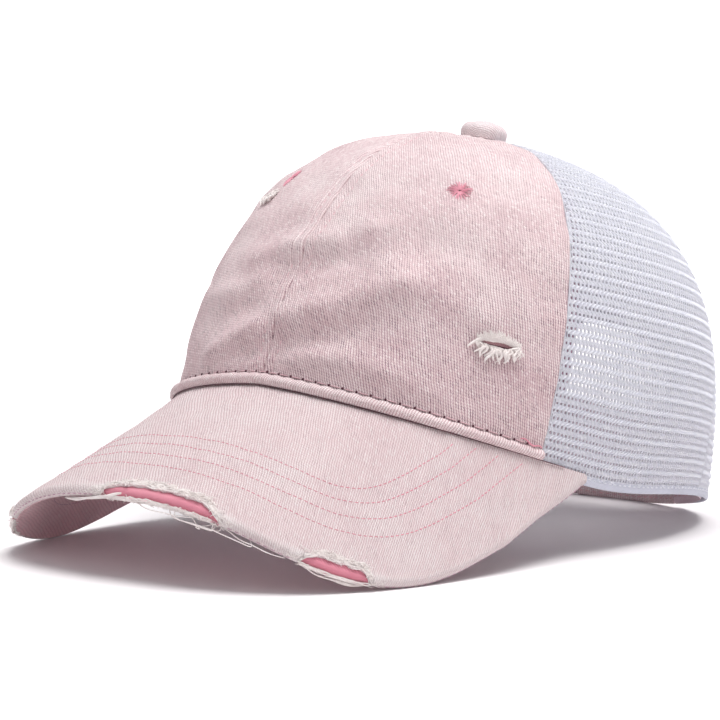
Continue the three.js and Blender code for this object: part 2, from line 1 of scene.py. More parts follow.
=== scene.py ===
"""Dresses a ponytail cap for its picture: torn pink twill in front, white knitted mesh behind.

The cap is shaped in a frame of its own, in millimetres, as its solids are: z = 0 is the plane
of the rear rim, the brim points to -Y and the wearer's left is +X. A place on the crown is an
angle round from the front middle and a share of the way up to the apex. Finished pieces are
tipped back onto the brim and laid down in metres.
"""

from __future__ import annotations

import logging
import math
from dataclasses import dataclass, field
from enum import Enum

import bpy
import numpy as np
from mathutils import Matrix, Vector


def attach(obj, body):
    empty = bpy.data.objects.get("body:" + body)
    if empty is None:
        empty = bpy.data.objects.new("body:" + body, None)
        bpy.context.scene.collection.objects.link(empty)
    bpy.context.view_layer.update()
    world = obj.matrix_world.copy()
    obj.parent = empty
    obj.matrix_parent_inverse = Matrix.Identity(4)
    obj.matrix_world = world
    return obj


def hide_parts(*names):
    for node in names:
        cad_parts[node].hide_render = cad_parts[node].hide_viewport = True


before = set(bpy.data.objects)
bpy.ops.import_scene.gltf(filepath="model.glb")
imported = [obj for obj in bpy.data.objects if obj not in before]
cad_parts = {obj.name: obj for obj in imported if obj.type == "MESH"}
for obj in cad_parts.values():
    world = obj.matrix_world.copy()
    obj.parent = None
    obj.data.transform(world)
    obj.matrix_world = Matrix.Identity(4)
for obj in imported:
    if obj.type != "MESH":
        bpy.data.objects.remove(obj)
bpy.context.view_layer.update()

log = logging.getLogger("cap")

MM = 0.001
Array = np.ndarray
Socket = bpy.types.NodeSocket
Value = float | tuple[float, ...] | bpy.types.NodeSocket


class Side(Enum):
    """The wearer's left or right, with the sign of its X and of its angles."""

    LEFT = 1
    RIGHT = -1

    @property
    def word(self) -> str:
        """The side's name as the nodes spell it."""
        return self.name.lower()


class Slot(Enum):
    """The record's material slots."""

    TWILL = "pink_twill"
    MESH = "white_mesh"
    TAPE = "seam_tape"
    BAND = "band_cotton"
    SATIN = "rose_satin"
    THREAD = "rose_thread"


def unit(vectors: Array) -> Array:
    """Vectors of length one, along the last axis."""
    return vectors / np.maximum(np.linalg.norm(vectors, axis=-1, keepdims=True), 1e-9)


def smooth_step(low: float, high: float, value: Array) -> Array:
    """A soft step from 0 at low to 1 at high."""
    share = np.clip((value - low) / (high - low), 0, 1)
    return share * share * (3 - 2 * share)


def bezier(start: float, near: Array, far: Array, end: float, share: Array) -> Array:
    """A cubic Bezier curve's value at a share of its way."""
    rest = 1 - share
    return start * rest**3 + 3 * near * share * rest**2 + 3 * far * share**2 * rest + end * share**3


def ripples(first: Array, second: Array, pitch: float, seed: int) -> Array:
    """Soft random undulation over two coordinates, from about -1 to 1.

    Args:
        first: one coordinate, in millimetres.
        second: the other coordinate, in millimetres.
        pitch: the usual length of a ripple.
        seed: picks the pattern.

    Returns:
        The undulation at each place.
    """
    rng = np.random.default_rng(seed)
    total = np.zeros(np.broadcast(first, second).shape)
    waves = 9
    for _ in range(waves):
        heading = rng.uniform(0, math.tau)
        number = math.tau / (pitch * rng.uniform(0.7, 1.6))
        phase = rng.uniform(0, math.tau)
        total += np.sin(number * (first * math.cos(heading) + second * math.sin(heading)) + phase)
    return total / math.sqrt(waves)


def run_along(points: Array) -> Array:
    """Length along lines of points, from 0 at the start of each."""
    strides = np.linalg.norm(np.diff(points, axis=-2), axis=-1)
    return np.concatenate([np.zeros((*strides.shape[:-1], 1)), np.cumsum(strides, axis=-1)], axis=-1)


def read_along(at: Array, run: Array, table: Array) -> Array:
    """Points at lengths along a line, read from a table of its points."""
    return np.stack([np.interp(at, run, table[:, axis]) for axis in range(3)], axis=-1)


@dataclass(frozen=True)
class Meridian:
    """The crown's line in one direction, as shares of the rim's distance and of the height."""

    lean: float
    wall: float
    dome: float


@dataclass(frozen=True)
class Dent:
    """A soft dent in the front, or a puff where its depth is negative, in shares and degrees."""

    angle: float
    up: float
    spread: float
    tall: float
    depth: float


DENTS = (
    Dent(30, 0.42, 15, 0.055, 0.014),
    Dent(11, 0.36, 9, 0.05, 0.01),
    Dent(46, 0.55, 13, 0.07, 0.007),
    Dent(38, 0.19, 16, 0.05, -0.007),
    Dent(12, 0.12, 12, 0.05, -0.008),
    Dent(-16, 0.42, 10, 0.06, 0.013),
    Dent(-36, 0.37, 12, 0.05, 0.011),
    Dent(-14, 0.13, 10, 0.05, -0.008),
)


@dataclass
class CrownForm:
    """The crown's outer surface, with the same sizes as the solids."""

    half_width: float = 84.0
    half_length: float = 101.0
    oval_power: float = 2.25
    height: float = 107.0
    apex_forward: float = 11.8
    front: Meridian = Meridian(-0.035, 0.43, 0.81)
    side: Meridian = Meridian(0.137, 0.592, 0.93)
    back: Meridian = Meridian(-0.174, 0.463, 0.631)
    rim_depth: float = 3.8
    corner_angle: float = 75.0
    corner_drop: float = 7.8
    corner_power: float = 1.25
    rear_power: float = 6.0
    front_seam: float = 61.5
    rear_seam: float = 122.5
    seam_lift: float = 0.5
    seam_lift_width: float = 5.0
    dents: tuple[Dent, ...] = DENTS
    table_shares: int = 241
    length_step: float = 1.0

    def __post_init__(self) -> None:
        """Measures every meridian once, so that places can be found by length."""
        angles = np.arange(-180, 180)[:, None]
        shares = np.linspace(0, 1, self.table_shares)[None, :]
        self.lengths = run_along(self.point(angles, shares))
        steps = np.arange(0, self.lengths.max(), self.length_step)
        self.shares = np.array([np.interp(steps, row, shares[0]) for row in self.lengths])

    def rim_height(self, angle: Array) -> Array:
        """Height of the rim: lowest at the brim's corners, level along the rear."""
        away = np.abs((np.asarray(angle, float) + 180) % 360 - 180)
        rise = np.sin(np.clip(away / self.corner_angle, 0, 1) * math.pi / 2)
        ahead = -self.rim_depth - self.corner_drop * rise**self.corner_power
        share = np.clip((away - self.corner_angle) / (180 - self.corner_angle), 0, 1)
        behind = -(self.rim_depth + self.corner_drop) * np.cos(share * math.pi / 2) ** self.rear_power
        return np.where(away <= self.corner_angle, ahead, behind)

    def rim(self, angle: Array) -> Array:
        """A point of the head opening's oval."""
        sine = np.sin(np.radians(angle))
        cosine = np.cos(np.radians(angle))
        across = np.abs(sine / self.half_width) ** self.oval_power
        along = np.abs(cosine / self.half_length) ** self.oval_power
        radius = (across + along) ** (-1 / self.oval_power)
        return np.stack([radius * sine, -radius * cosine, self.rim_height(angle)], axis=-1)

    def point(self, angle: Array, share: Array) -> Array:
        """A point of the crown.

        Args:
            angle: degrees round from the front middle, positive to the wearer's left.
            share: 0 at the rim to 1 at the apex.

        Returns:
            Points, with x, y and z on the last axis.
        """
        angle, share = np.broadcast_arrays(np.asarray(angle, float), np.asarray(share, float))
        cosine = np.cos(np.radians(angle))
        ahead = np.maximum(cosine, 0) ** 2
        behind = np.maximum(-cosine, 0) ** 2

        def mixed(key: str) -> Array:
            """One of a meridian's values, blended round the crown."""
            front, side, back = (getattr(line, key) for line in (self.front, self.side, self.back))
            return front * ahead + back * behind + side * (1 - ahead - behind)

        outward = bezier(1, 1 + mixed("lean"), mixed("dome"), 0, share)
        upward = bezier(0, mixed("wall"), 1, 1, share)
        rim = self.rim(angle)
        y = -self.apex_forward + (rim[..., 1] + self.apex_forward) * outward
        z = rim[..., 2] + (self.height - rim[..., 2]) * upward
        return np.stack([rim[..., 0] * outward, y, z], axis=-1)

    def normal(self, angle: Array, share: Array) -> Array:
        """The crown's outward normal."""
        angle, share = np.broadcast_arrays(np.asarray(angle, float), np.asarray(share, float))
        low, high = share - 0.002, np.minimum(share + 0.002, 0.999)
        across = self.point(angle + 0.2, share) - self.point(angle - 0.2, share)
        up = self.point(angle, high) - self.point(angle, low)
        return unit(np.cross(across, up))

    def climb(self, angle: Array, length: Array) -> Array:
        """The share of the meridian at a length in millimetres up from the rim."""
        angle, length = np.broadcast_arrays(np.asarray(angle, float), np.asarray(length, float))
        place = (angle + 180) % 360
        low = np.floor(place).astype(int) % 360
        high = (low + 1) % 360
        aside = place - np.floor(place)
        along = np.clip(length / self.length_step, 0, self.shares.shape[1] - 1.001)
        step = np.floor(along).astype(int)
        part = along - step

        def read(row: Array) -> Array:
            """Reads the table along one meridian."""
            return self.shares[row, step] * (1 - part) + self.shares[row, step + 1] * part

        found = read(low) * (1 - aside) + read(high) * aside
        below = length / self.length_step * self.shares[low, 1]
        return np.where(length < 0, below, found)

    def length(self, angle: float, share: float) -> float:
        """Length of a meridian from the rim up to a share of it."""
        row = self.lengths[int(round(angle + 180)) % 360]
        return float(np.interp(share, np.linspace(0, 1, self.table_shares), row))

    def turn_for(self, length: Array, angle: Array, share: Array) -> Array:
        """Degrees round the crown that span a length there."""
        point = self.point(angle, share)
        return np.degrees(length / np.hypot(point[..., 0], point[..., 1] + self.apex_forward))

    def near_apex(self, angle: Array, radius: float) -> Array:
        """The share of the meridian at a given distance from the apex in plan."""
        low = np.full(np.shape(angle), 0.5)
        high = np.ones(np.shape(angle))
        for _ in range(26):
            middle = (low + high) / 2
            point = self.point(angle, middle)
            outside = np.hypot(point[..., 0], point[..., 1] + self.apex_forward) > radius
            low = np.where(outside, middle, low)
            high = np.where(outside, high, middle)
        return low

    def relief(self, angle: Array, share: Array) -> Array:
        """How far the washed front stands out of its smooth form."""
        held = np.clip(np.abs(angle) / self.front_seam, 0, 1) ** 4
        height = np.zeros(np.broadcast(angle, share).shape)
        for dent in self.dents:
            aside = (angle - dent.angle) / dent.spread
            above = (share - dent.up) / dent.tall
            height -= dent.depth * self.height * np.exp(-(aside**2) - above**2)
        width = self.turn_for(self.seam_lift_width, angle, share)
        return height * (1 - held) + self.seam_lift * np.exp(-((angle / width) ** 2))

    def raised(self, angle: Array, share: Array, height: Array) -> Array:
        """A point at a height over the crown."""
        return self.point(angle, share) + self.normal(angle, share) * np.asarray(height)[..., None]


@dataclass
class PanelMap:
    """The flat cut of a panel between two meridians: millimetres across from its middle and up."""

    crown: CrownForm
    start: float
    end: float

    def __post_init__(self) -> None:
        """Measures the panel's half width and its middle line at each share."""
        self.middle = (self.start + self.end) / 2
        self.half_turn = (self.end - self.start) / 2
        self.share_steps = np.linspace(0, 1, 121)
        angles = np.linspace(self.start, self.end, 25)
        points = self.crown.point(angles[None, :], self.share_steps[:, None])
        self.half_widths = np.linalg.norm(np.diff(points, axis=1), axis=-1).sum(axis=1) / 2
        self.heights = run_along(self.crown.point(self.middle, self.share_steps))

    def half_width(self, up: Array) -> Array:
        """Half the panel's width at a height up its middle line."""
        return np.interp(up, self.heights, self.half_widths)

    def share(self, up: Array) -> Array:
        """The share of the meridians at a height up the middle line."""
        return np.interp(up, self.heights, self.share_steps)

    def angle(self, across: Array, up: Array) -> Array:
        """The angle round the crown of a place on the flat cut."""
        return self.middle + across / self.half_width(up) * self.half_turn

    def flat(self, angle: Array, share: Array) -> Array:
        """The place on the flat cut of a place on the crown, as across and up on the last axis."""
        width = np.interp(share, self.share_steps, self.half_widths)
        across = (angle - self.middle) / self.half_turn * width
        up = np.interp(share, self.share_steps, self.heights)
        return np.stack(np.broadcast_arrays(across, up), axis=-1)


@dataclass(frozen=True)
class Seat:
    """How the cap is tipped back and laid down where it rests."""

    tilt: float = 16.7633
    back: float = 34.0681
    up: float = 28.8838

    def place(self, points: Array) -> Array:
        """Points of the cap's own frame, in metres where the cap rests."""
        cosine = math.cos(math.radians(self.tilt))
        sine = math.sin(math.radians(self.tilt))
        x, y, z = np.moveaxis(np.asarray(points, float), -1, 0)
        placed = np.stack([x, y * cosine + z * sine + self.back, z * cosine - y * sine + self.up], axis=-1)
        placed[..., 2] = np.maximum(placed[..., 2], 0.02)
        return placed * MM


SEAT = Seat()


def grid_faces(rows: int, columns: int) -> Array:
    """Four-sided faces of a grid of points, row by row."""
    corner = np.arange(rows * columns).reshape(rows, columns)
    quads = [corner[:-1, :-1], corner[:-1, 1:], corner[1:, 1:], corner[1:, :-1]]
    return np.stack(quads, axis=-1).reshape(-1, 4)


def rim_edges(faces: Array) -> Array:
    """Directed edges that belong to one face only."""
    edges = np.concatenate([faces[:, [0, 1]], faces[:, [1, 2]], faces[:, [2, 3]], faces[:, [3, 0]]])
    _, first, count = np.unique(np.sort(edges, axis=1), axis=0, return_index=True, return_counts=True)
    return edges[first[count == 1]]


@dataclass(frozen=True)
class Stitch:
    """A kind of stitch: its pitch, its thread's width, how far the thread stands over the cloth
    and sinks into it, and how much of the pitch it shows.
    """

    pitch: float
    width: float
    rise: float
    sunk: float = 0.2
    share: float = 0.74


SEAM_STITCH = Stitch(3.1, 0.36, 0.1)
ROLL_STITCH = Stitch(5.1, 0.4, 0.15, share=0.9)
HEM_STITCH = Stitch(2.6, 0.4, 0.12, 0.15)
BINDING_STITCH = Stitch(2.6, 0.4, 0.12)
BAND_STITCH = Stitch(3.4, 0.5, 0.12)
TAPE_STITCH = Stitch(3.2, 0.45, 0.1)
STRAP_STITCH = Stitch(3.0, 0.45, 0.14)
ROW_STITCH = Stitch(2.0, 0.34, 0.08, 0.12, 0.82)
UNDER_STITCH = Stitch(2.0, 0.34, 0.06, 0.12, 0.82)
EDGE_STITCH = Stitch(2.6, 0.4, 0.08, share=0.75)


class Piece:
    """Gathers one piece's points and faces in the cap's own frame, and makes its object."""

    def __init__(self, name: str) -> None:
        """Starts an empty piece."""
        self.name = name
        self.points: list[Array] = []
        self.cloth: list[Array] = []
        self.wear: list[Array] = []
        self.faces: list[Array] = []
        self.count = 0

    def add(self, points: Array, faces: list[Array], cloth: Array, wear: Array | float = 0.0) -> None:
        """Adds points with the faces between them.

        Args:
            points: places in millimetres.
            faces: arrays of corner numbers, all of one array with as many corners.
            cloth: each point's place on the flat cloth, in millimetres.
            wear: how worn the cloth is at each point, 0 to 1; on the knit, how much painted shade it takes.
        """
        points = points.reshape(-1, 3)
        self.points.append(points)
        self.cloth.append(np.broadcast_to(cloth, (len(points), 2)).reshape(-1, 2))
        self.wear.append(np.broadcast_to(wear, (len(points),)).astype(float))
        self.faces.extend(face + self.count for face in faces if len(face))
        self.count += len(points)

    def shell(
        self, outer: Array, inner: Array, cloth: Array, wear: Array | float = 0.0, keep: Array | None = None
    ) -> None:
        """Adds a closed wall of cloth between two grids of points.

        Args:
            outer: rows and columns of points on the outside.
            inner: the same on the inside.
            cloth: each place on the flat cloth, across and up.
            wear: how worn the cloth is, 0 to 1; on the knit, how much painted shade it takes.
            keep: which of the grid's cells are cloth, or None for all.
        """
        size = outer.shape[:2]
        faces = grid_faces(*size)
        if keep is not None:
            faces = faces[keep.reshape(-1)]
        cloth = np.broadcast_to(cloth, (*size, 2)).reshape(-1, 2)
        self.wall(
            outer.reshape(-1, 3), inner.reshape(-1, 3), faces, cloth, np.broadcast_to(wear, size).reshape(-1)
        )

    def wall(self, outer: Array, inner: Array, faces: Array, cloth: Array, wear: Array | float) -> None:
        """Adds a closed wall between two layers of points, and drops the points that no face has.

        Args:
            outer: points on the outside.
            inner: the same on the inside.
            faces: the corner numbers of four-sided faces in a layer.
            cloth: each place on the flat cloth, across and up.
            wear: how worn the cloth is, 0 to 1; on the knit, how much painted shade it takes.
        """
        first = outer[faces[:, 0]]
        crossing = np.cross(outer[faces[:, 1]] - first, outer[faces[:, 3]] - first)
        if (crossing * (outer - inner)[faces[:, 0]]).sum() < 0:
            faces = faces[:, ::-1]
        layer = len(outer)
        begin, end = rim_edges(faces).T
        rim = np.stack([end, begin, begin + layer, end + layer], axis=-1)
        kept = np.unique(faces)
        renumbered = np.full(2 * layer, -1)
        renumbered[np.concatenate([kept, kept + layer])] = np.arange(2 * len(kept))
        all_faces = renumbered[np.concatenate([faces, faces[:, ::-1] + layer, rim])]
        points = np.concatenate([outer[kept], inner[kept]])
        wear = np.broadcast_to(wear, (layer,))[kept]
        self.add(points, [all_faces], np.tile(cloth[kept], (2, 1)), np.tile(wear, 2))

    def threads(
        self,
        paths: Array,
        ups: Array,
        width: float | Array,
        height: float | Array,
        sides: int = 4,
        taper: float = 0.0,
    ) -> None:
        """Adds threads of the same number of steps along their paths.

        Args:
            paths: one row of points for each thread.
            ups: the direction away from the cloth at each point.
            width: each thread's width along the cloth.
            height: each thread's thickness away from it.
            sides: the number of sides.
            taper: how much thinner the ends are, 0 to 1.
        """
        number, steps = paths.shape[:2]
        if number == 0:
            return
        along = unit(np.gradient(paths, axis=1))
        aside = unit(np.cross(along, ups))
        lift = unit(np.cross(aside, along))
        share = np.linspace(-1, 1, steps)
        thin = 1 - taper * np.abs(share) ** 3
        turns = np.arange(sides) / sides * math.tau
        wide = np.broadcast_to(np.asarray(width, float).reshape(-1, 1), (number, steps)) / 2 * thin
        tall = np.broadcast_to(np.asarray(height, float).reshape(-1, 1), (number, steps)) / 2 * thin
        ring = (
            paths[:, :, None]
            + aside[:, :, None] * (wide[..., None] * np.cos(turns))[..., None]
            + lift[:, :, None] * (tall[..., None] * np.sin(turns))[..., None]
        )
        corner = np.arange(number * steps * sides).reshape(number, steps, sides)
        after = np.roll(corner, -1, axis=2)
        walls = np.stack([corner[:, :-1], corner[:, 1:], after[:, 1:], after[:, :-1]], axis=-1)
        cloth = np.stack(np.broadcast_arrays(run_along(paths)[:, :, None], np.arange(sides) * 0.3), axis=-1)
        starts = corner[:, 0]
        ends = corner[:, -1, ::-1]
        self.add(ring, [walls.reshape(-1, 4)[:, ::-1], starts, ends], cloth.reshape(-1, 2))

    def sew(
        self,
        crown: CrownForm,
        angle: Array,
        share: Array,
        height: Array | float,
        stitch: Stitch,
        facing: int = 1,
    ) -> None:
        """Sews a row of stitches along a line on the crown.

        Args:
            crown: the crown's form.
            angle: degrees round the crown.
            share: shares up the meridians.
            height: how high the cloth lies over the crown.
            stitch: the stitches' sizes.
            facing: 1 for stitches seen from outside, -1 for those inside.
        """
        points = crown.raised(angle, share, height)
        stitches(self, points, facing * crown.normal(angle, share), stitch)

    def build(
        self, slot: Slot, material: bpy.types.Material, replaced: tuple[str, ...] = ()
    ) -> bpy.types.Object:
        """Makes the object, dresses it and puts it in the frame.

        Args:
            slot: the record's material slot; not used.
            material: the finish.
            replaced: the CAD nodes that the piece stands for.

        Returns:
            The new object.
        """
        mesh = bpy.data.meshes.new(self.name)
        points = SEAT.place(np.concatenate(self.points))
        faces = [face for group in self.faces for face in group.tolist()]
        mesh.from_pydata(points.tolist(), [], faces)
        corner = np.empty(len(mesh.loops), np.int32)
        mesh.loops.foreach_get("vertex_index", corner)
        cloth = mesh.uv_layers.new(name="cloth")
        cloth.data.foreach_set("uv", np.concatenate(self.cloth)[corner].ravel() / 100)
        # Wear on the twill; on the knit, painted shade between the yarns.
        wear = mesh.attributes.new("wear", "FLOAT", "POINT")
        wear.data.foreach_set("value", np.concatenate(self.wear))
        mesh.polygons.foreach_set("use_smooth", [True] * len(mesh.polygons))
        mesh.set_sharp_from_angle(angle=math.radians(55))
        mesh.materials.append(material)
        mesh.update()
        made = bpy.data.objects.new(self.name, mesh)
        bpy.context.scene.collection.objects.link(made)
        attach(made, "root")
        if replaced:
            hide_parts(*replaced)
        log.info("%s: %d faces", self.name, len(mesh.polygons))
        return made


def stitches(piece: Piece, points: Array, normals: Array, stitch: Stitch) -> None:
    """Sews a row of stitches along a line.

    Args:
        piece: the piece that gathers the stitches.
        points: the line on the cloth's surface.
        normals: the cloth's outward direction along it.
        stitch: the stitches' sizes.
    """
    run = run_along(points)
    number = max(int(run[-1] / stitch.pitch), 1)
    steps = 5
    share_along = np.linspace(0, 1, steps)
    begins = (np.arange(number) + (1 - stitch.share) / 2) * run[-1] / number
    at = begins[:, None] + share_along[None, :] * stitch.share * run[-1] / number
    paths = read_along(at, run, points)
    ups = unit(read_along(at, run, normals))
    arch = np.sin(share_along * math.pi) ** 0.6
    paths = paths + ups * (arch * (stitch.rise + stitch.sunk) - stitch.sunk)[None, :, None]
    piece.threads(paths, ups, stitch.width, stitch.width * 0.8, taper=0.35)


# Shader graphs


class Graph:
    """Adds nodes to a shader tree with their values or links in one call."""

    def __init__(self, tree: bpy.types.NodeTree) -> None:
        """Works on one tree."""
        self.tree = tree

    def add(
        self, kind: str, values: dict[str | int, Value] | None = None, **settings: object
    ) -> bpy.types.Node:
        """Adds a node.

        Args:
            kind: the node's type name, without ShaderNode in front.
            values: a value or a socket for each named or numbered input.
            settings: the node's own settings.

        Returns:
            The node.
        """
        node = self.tree.nodes.new(f"ShaderNode{kind}")
        for name, setting in settings.items():
            setattr(node, name, setting)
        for key, value in (values or {}).items():
            if isinstance(value, bpy.types.NodeSocket):
                self.tree.links.new(value, node.inputs[key])
            else:
                node.inputs[key].default_value = value
        return node

    def math(self, operation: str, *values: Value) -> Socket:
        """The result of a sum on up to three values."""
        return self.add("Math", dict(enumerate(values)), operation=operation).outputs[0]

    def times(self, first: Value, second: Value) -> Socket:
        """Two values multiplied."""
        return self.math("MULTIPLY", first, second)

    def ramp(self, value: Value, low: float, high: float, start: float = 0.0, end: float = 1.0) -> Socket:
        """A value taken from one range to another, and held at its ends."""
        values = {"Value": value, "From Min": low, "From Max": high, "To Min": start, "To Max": end}
        return self.add("MapRange", values, interpolation_type="SMOOTHSTEP").outputs["Result"]

    def blend(self, share: Value, first: Value, second: Value) -> Socket:
        """A mix of two colours."""
        return self.add("Mix", {0: share, 6: first, 7: second}, data_type="RGBA").outputs[2]

    def noise(self, vector: Value, scale: float, detail: float = 2.0, roughness: float = 0.5) -> Socket:
        """Smooth noise, about 0.3 to 0.7."""
        values = {"Vector": vector, "Scale": scale, "Detail": detail, "Roughness": roughness}
        return self.add("TexNoise", values).outputs[0]

    def group(self, tree: bpy.types.NodeTree, values: dict[str, Value]) -> bpy.types.bpy_prop_collection:
        """Places a node group with its values, and gives its outputs."""
        return self.add("Group", values, node_tree=tree).outputs

    def link(self, node: bpy.types.Node, sockets: dict[str, Socket]) -> None:
        """Links a socket to each named input of a node."""
        for key, socket in sockets.items():
            self.tree.links.new(socket, node.inputs[key])


def new_group(
    name: str, inputs: dict[str, tuple[str, float | tuple[float, ...]]], outputs: dict[str, str]
) -> tuple[Graph, bpy.types.Node, bpy.types.Node]:
    """Starts a node group.

    Args:
        name: the group's name.
        inputs: kind of socket and first value for each input.
        outputs: kind of socket for each output.

    Returns:
        The group's graph, its input node and its output node.
    """
    tree = bpy.data.node_groups.new(name, "ShaderNodeTree")
    for key, (kind, value) in inputs.items():
        socket = tree.interface.new_socket(name=key, in_out="INPUT", socket_type=f"NodeSocket{kind}")
        socket.default_value = value
    for key, kind in outputs.items():
        tree.interface.new_socket(name=key, in_out="OUTPUT", socket_type=f"NodeSocket{kind}")
    entry = tree.nodes.new("NodeGroupInput")
    leave = tree.nodes.new("NodeGroupOutput")
    return Graph(tree), entry, leave


class Effects:
    """The shader effects that several cloths share."""

    def __init__(self) -> None:
        """Builds each group once."""
        self.twill = self.twill_group()
        self.washed = self.washed_group()
        self.fibre = self.fibre_group()

    def twill_group(self) -> bpy.types.NodeTree:
        """Slanted cords of warp over weft, each broken into uneven beads."""
        graph, entry, leave = new_group(
            "twill weave",
            {"Cloth": ("Vector", (0, 0, 0)), "Pitch": ("Float", 1.0), "Lean": ("Float", 0.0)},
            {"Height": "Float", "Groove": "Float", "Chance": "Float", "Cord": "Float"},
        )
        cloth = entry.outputs["Cloth"]
        turned = graph.add(
            "VectorRotate", {"Vector": cloth, "Angle": entry.outputs["Lean"]}, rotation_type="Z_AXIS"
        ).outputs[0]
        split = graph.add("SeparateXYZ", {0: turned})
        wander = graph.times(graph.math("SUBTRACT", graph.noise(cloth, 0.12, 1.0), 0.5), 1.2)
        fine = graph.times(graph.math("SUBTRACT", graph.noise(cloth, 1.3, 1.0), 0.5), 0.4)
        across = graph.math("ADD", split.outputs[0], graph.math("ADD", wander, fine))
        cords = graph.math("DIVIDE", across, entry.outputs["Pitch"])
        number = graph.math("FLOOR", cords)
        part = graph.math("FRACT", cords)
        rounded = graph.math("SINE", graph.times(part, math.pi))
        slant = graph.math("MULTIPLY_ADD", part, 0.8, graph.times(number, 0.38))
        length = graph.times(entry.outputs["Pitch"], 1.1)
        turns = graph.math("ADD", graph.math("DIVIDE", split.outputs[1], length), slant)
        bead = graph.math("SINE", graph.times(graph.math("FRACT", turns), math.pi))
        cell = graph.add("CombineXYZ", {0: number, 1: graph.math("FLOOR", turns)}).outputs[0]
        chance = graph.add("TexWhiteNoise", {"Vector": cell}, noise_dimensions="3D").outputs["Value"]
        cord_chance = graph.add("TexWhiteNoise", {"W": number}, noise_dimensions="1D").outputs["Value"]
        high = graph.times(graph.math("POWER", rounded, 0.8), graph.ramp(bead, 0.0, 0.7, 0.5, 1.0))
        groove = graph.math("SUBTRACT", 1.0, high)
        graph.link(leave, {"Height": high, "Groove": groove, "Chance": chance, "Cord": cord_chance})
        return graph.tree

    def washed_group(self) -> bpy.types.NodeTree:
        """Blotches left by washing, and small pale slubs."""
        graph, entry, leave = new_group(
            "washed cloth",
            {"Place": ("Vector", (0, 0, 0)), "Size": ("Float", 25.0)},
            {"Pale": "Float", "Dusty": "Float", "Slub": "Float"},
        )
        near = graph.add("VectorMath", {0: entry.outputs["Place"], 3: 1000.0}, operation="SCALE").outputs[0]
        small = graph.math("DIVIDE", 1.0, entry.outputs["Size"])
        scaled = graph.add("VectorMath", {0: near, 3: small}, operation="SCALE").outputs[0]
        pale = graph.ramp(graph.noise(scaled, 1.0, 2.0, 0.5), 0.4, 0.66)
        shifted = graph.add("VectorMath", {0: scaled, 1: (7.3, 2.1, 4.4)}, operation="ADD").outputs[0]
        dusty = graph.ramp(graph.noise(shifted, 1.2, 2.0, 0.5), 0.44, 0.7)
        slub = graph.ramp(graph.noise(near, 0.9, 2.0), 0.63, 0.72)
        graph.link(leave, {"Pale": pale, "Dusty": dusty, "Slub": slub})
        return graph.tree

    def fibre_group(self) -> bpy.types.NodeTree:
        """Fine cotton or yarn fibres that run mostly one way."""
        graph, entry, leave = new_group(
            "fibres",
            {"Cloth": ("Vector", (0, 0, 0)), "Stretch": ("Float", 4.0)},
            {"Height": "Float", "Shade": "Float"},
        )
        split = graph.add("SeparateXYZ", {0: entry.outputs["Cloth"]})
        long = graph.math("DIVIDE", split.outputs[0], entry.outputs["Stretch"])
        drawn = graph.add("CombineXYZ", {0: long, 1: split.outputs[1], 2: split.outputs[2]}).outputs[0]
        height = graph.noise(drawn, 3.2, 3.0, 0.6)
        shade = graph.ramp(graph.noise(drawn, 1.3, 2.0), 0.35, 0.68)
        graph.link(leave, {"Height": height, "Shade": shade})
        return graph.tree


def start_material(name: str) -> tuple[bpy.types.Material, Graph, bpy.types.Node, Socket, Socket]:
    """Starts a material.

    Args:
        name: the material's name.

    Returns:
        The material, its graph, its shader, the cloth's place in millimetres and the object's place.
    """
    material = bpy.data.materials.new(name)
    material.use_nodes = True
    graph = Graph(material.node_tree)
    shader = material.node_tree.nodes["Principled BSDF"]
    cut = graph.add("UVMap", None, uv_map="cloth").outputs[0]
    cloth = graph.add("VectorMath", {0: cut, 3: 100.0}, operation="SCALE").outputs[0]
    place = graph.add("TexCoord").outputs["Object"]
    return material, graph, shader, cloth, place


def set_shader(shader: bpy.types.Node, **values: float | tuple[float, ...]) -> None:
    """Sets constants on the shader's own sockets, with spaces for underscores."""
    for key, value in values.items():
        shader.inputs[key.replace("_", " ").title().replace("Ior", "IOR")].default_value = value


def bump(graph: Graph, height: Socket, strength: float, depth: float) -> Socket:
    """A normal from a height, with the bump's depth in millimetres."""
    node = graph.add("Bump", {"Height": height, "Strength": strength, "Distance": depth * MM})
    return node.outputs[0]


def colour(red: float, green: float, blue: float) -> tuple[float, float, float, float]:
    """A colour given as it shows on a screen, 0 to 255, in the shader's own scale."""

    def linear(value: float) -> float:
        """One channel."""
        share = value / 255
        return share / 12.92 if share <= 0.04045 else ((share + 0.055) / 1.055) ** 2.4

    return (linear(red), linear(green), linear(blue), 1.0)


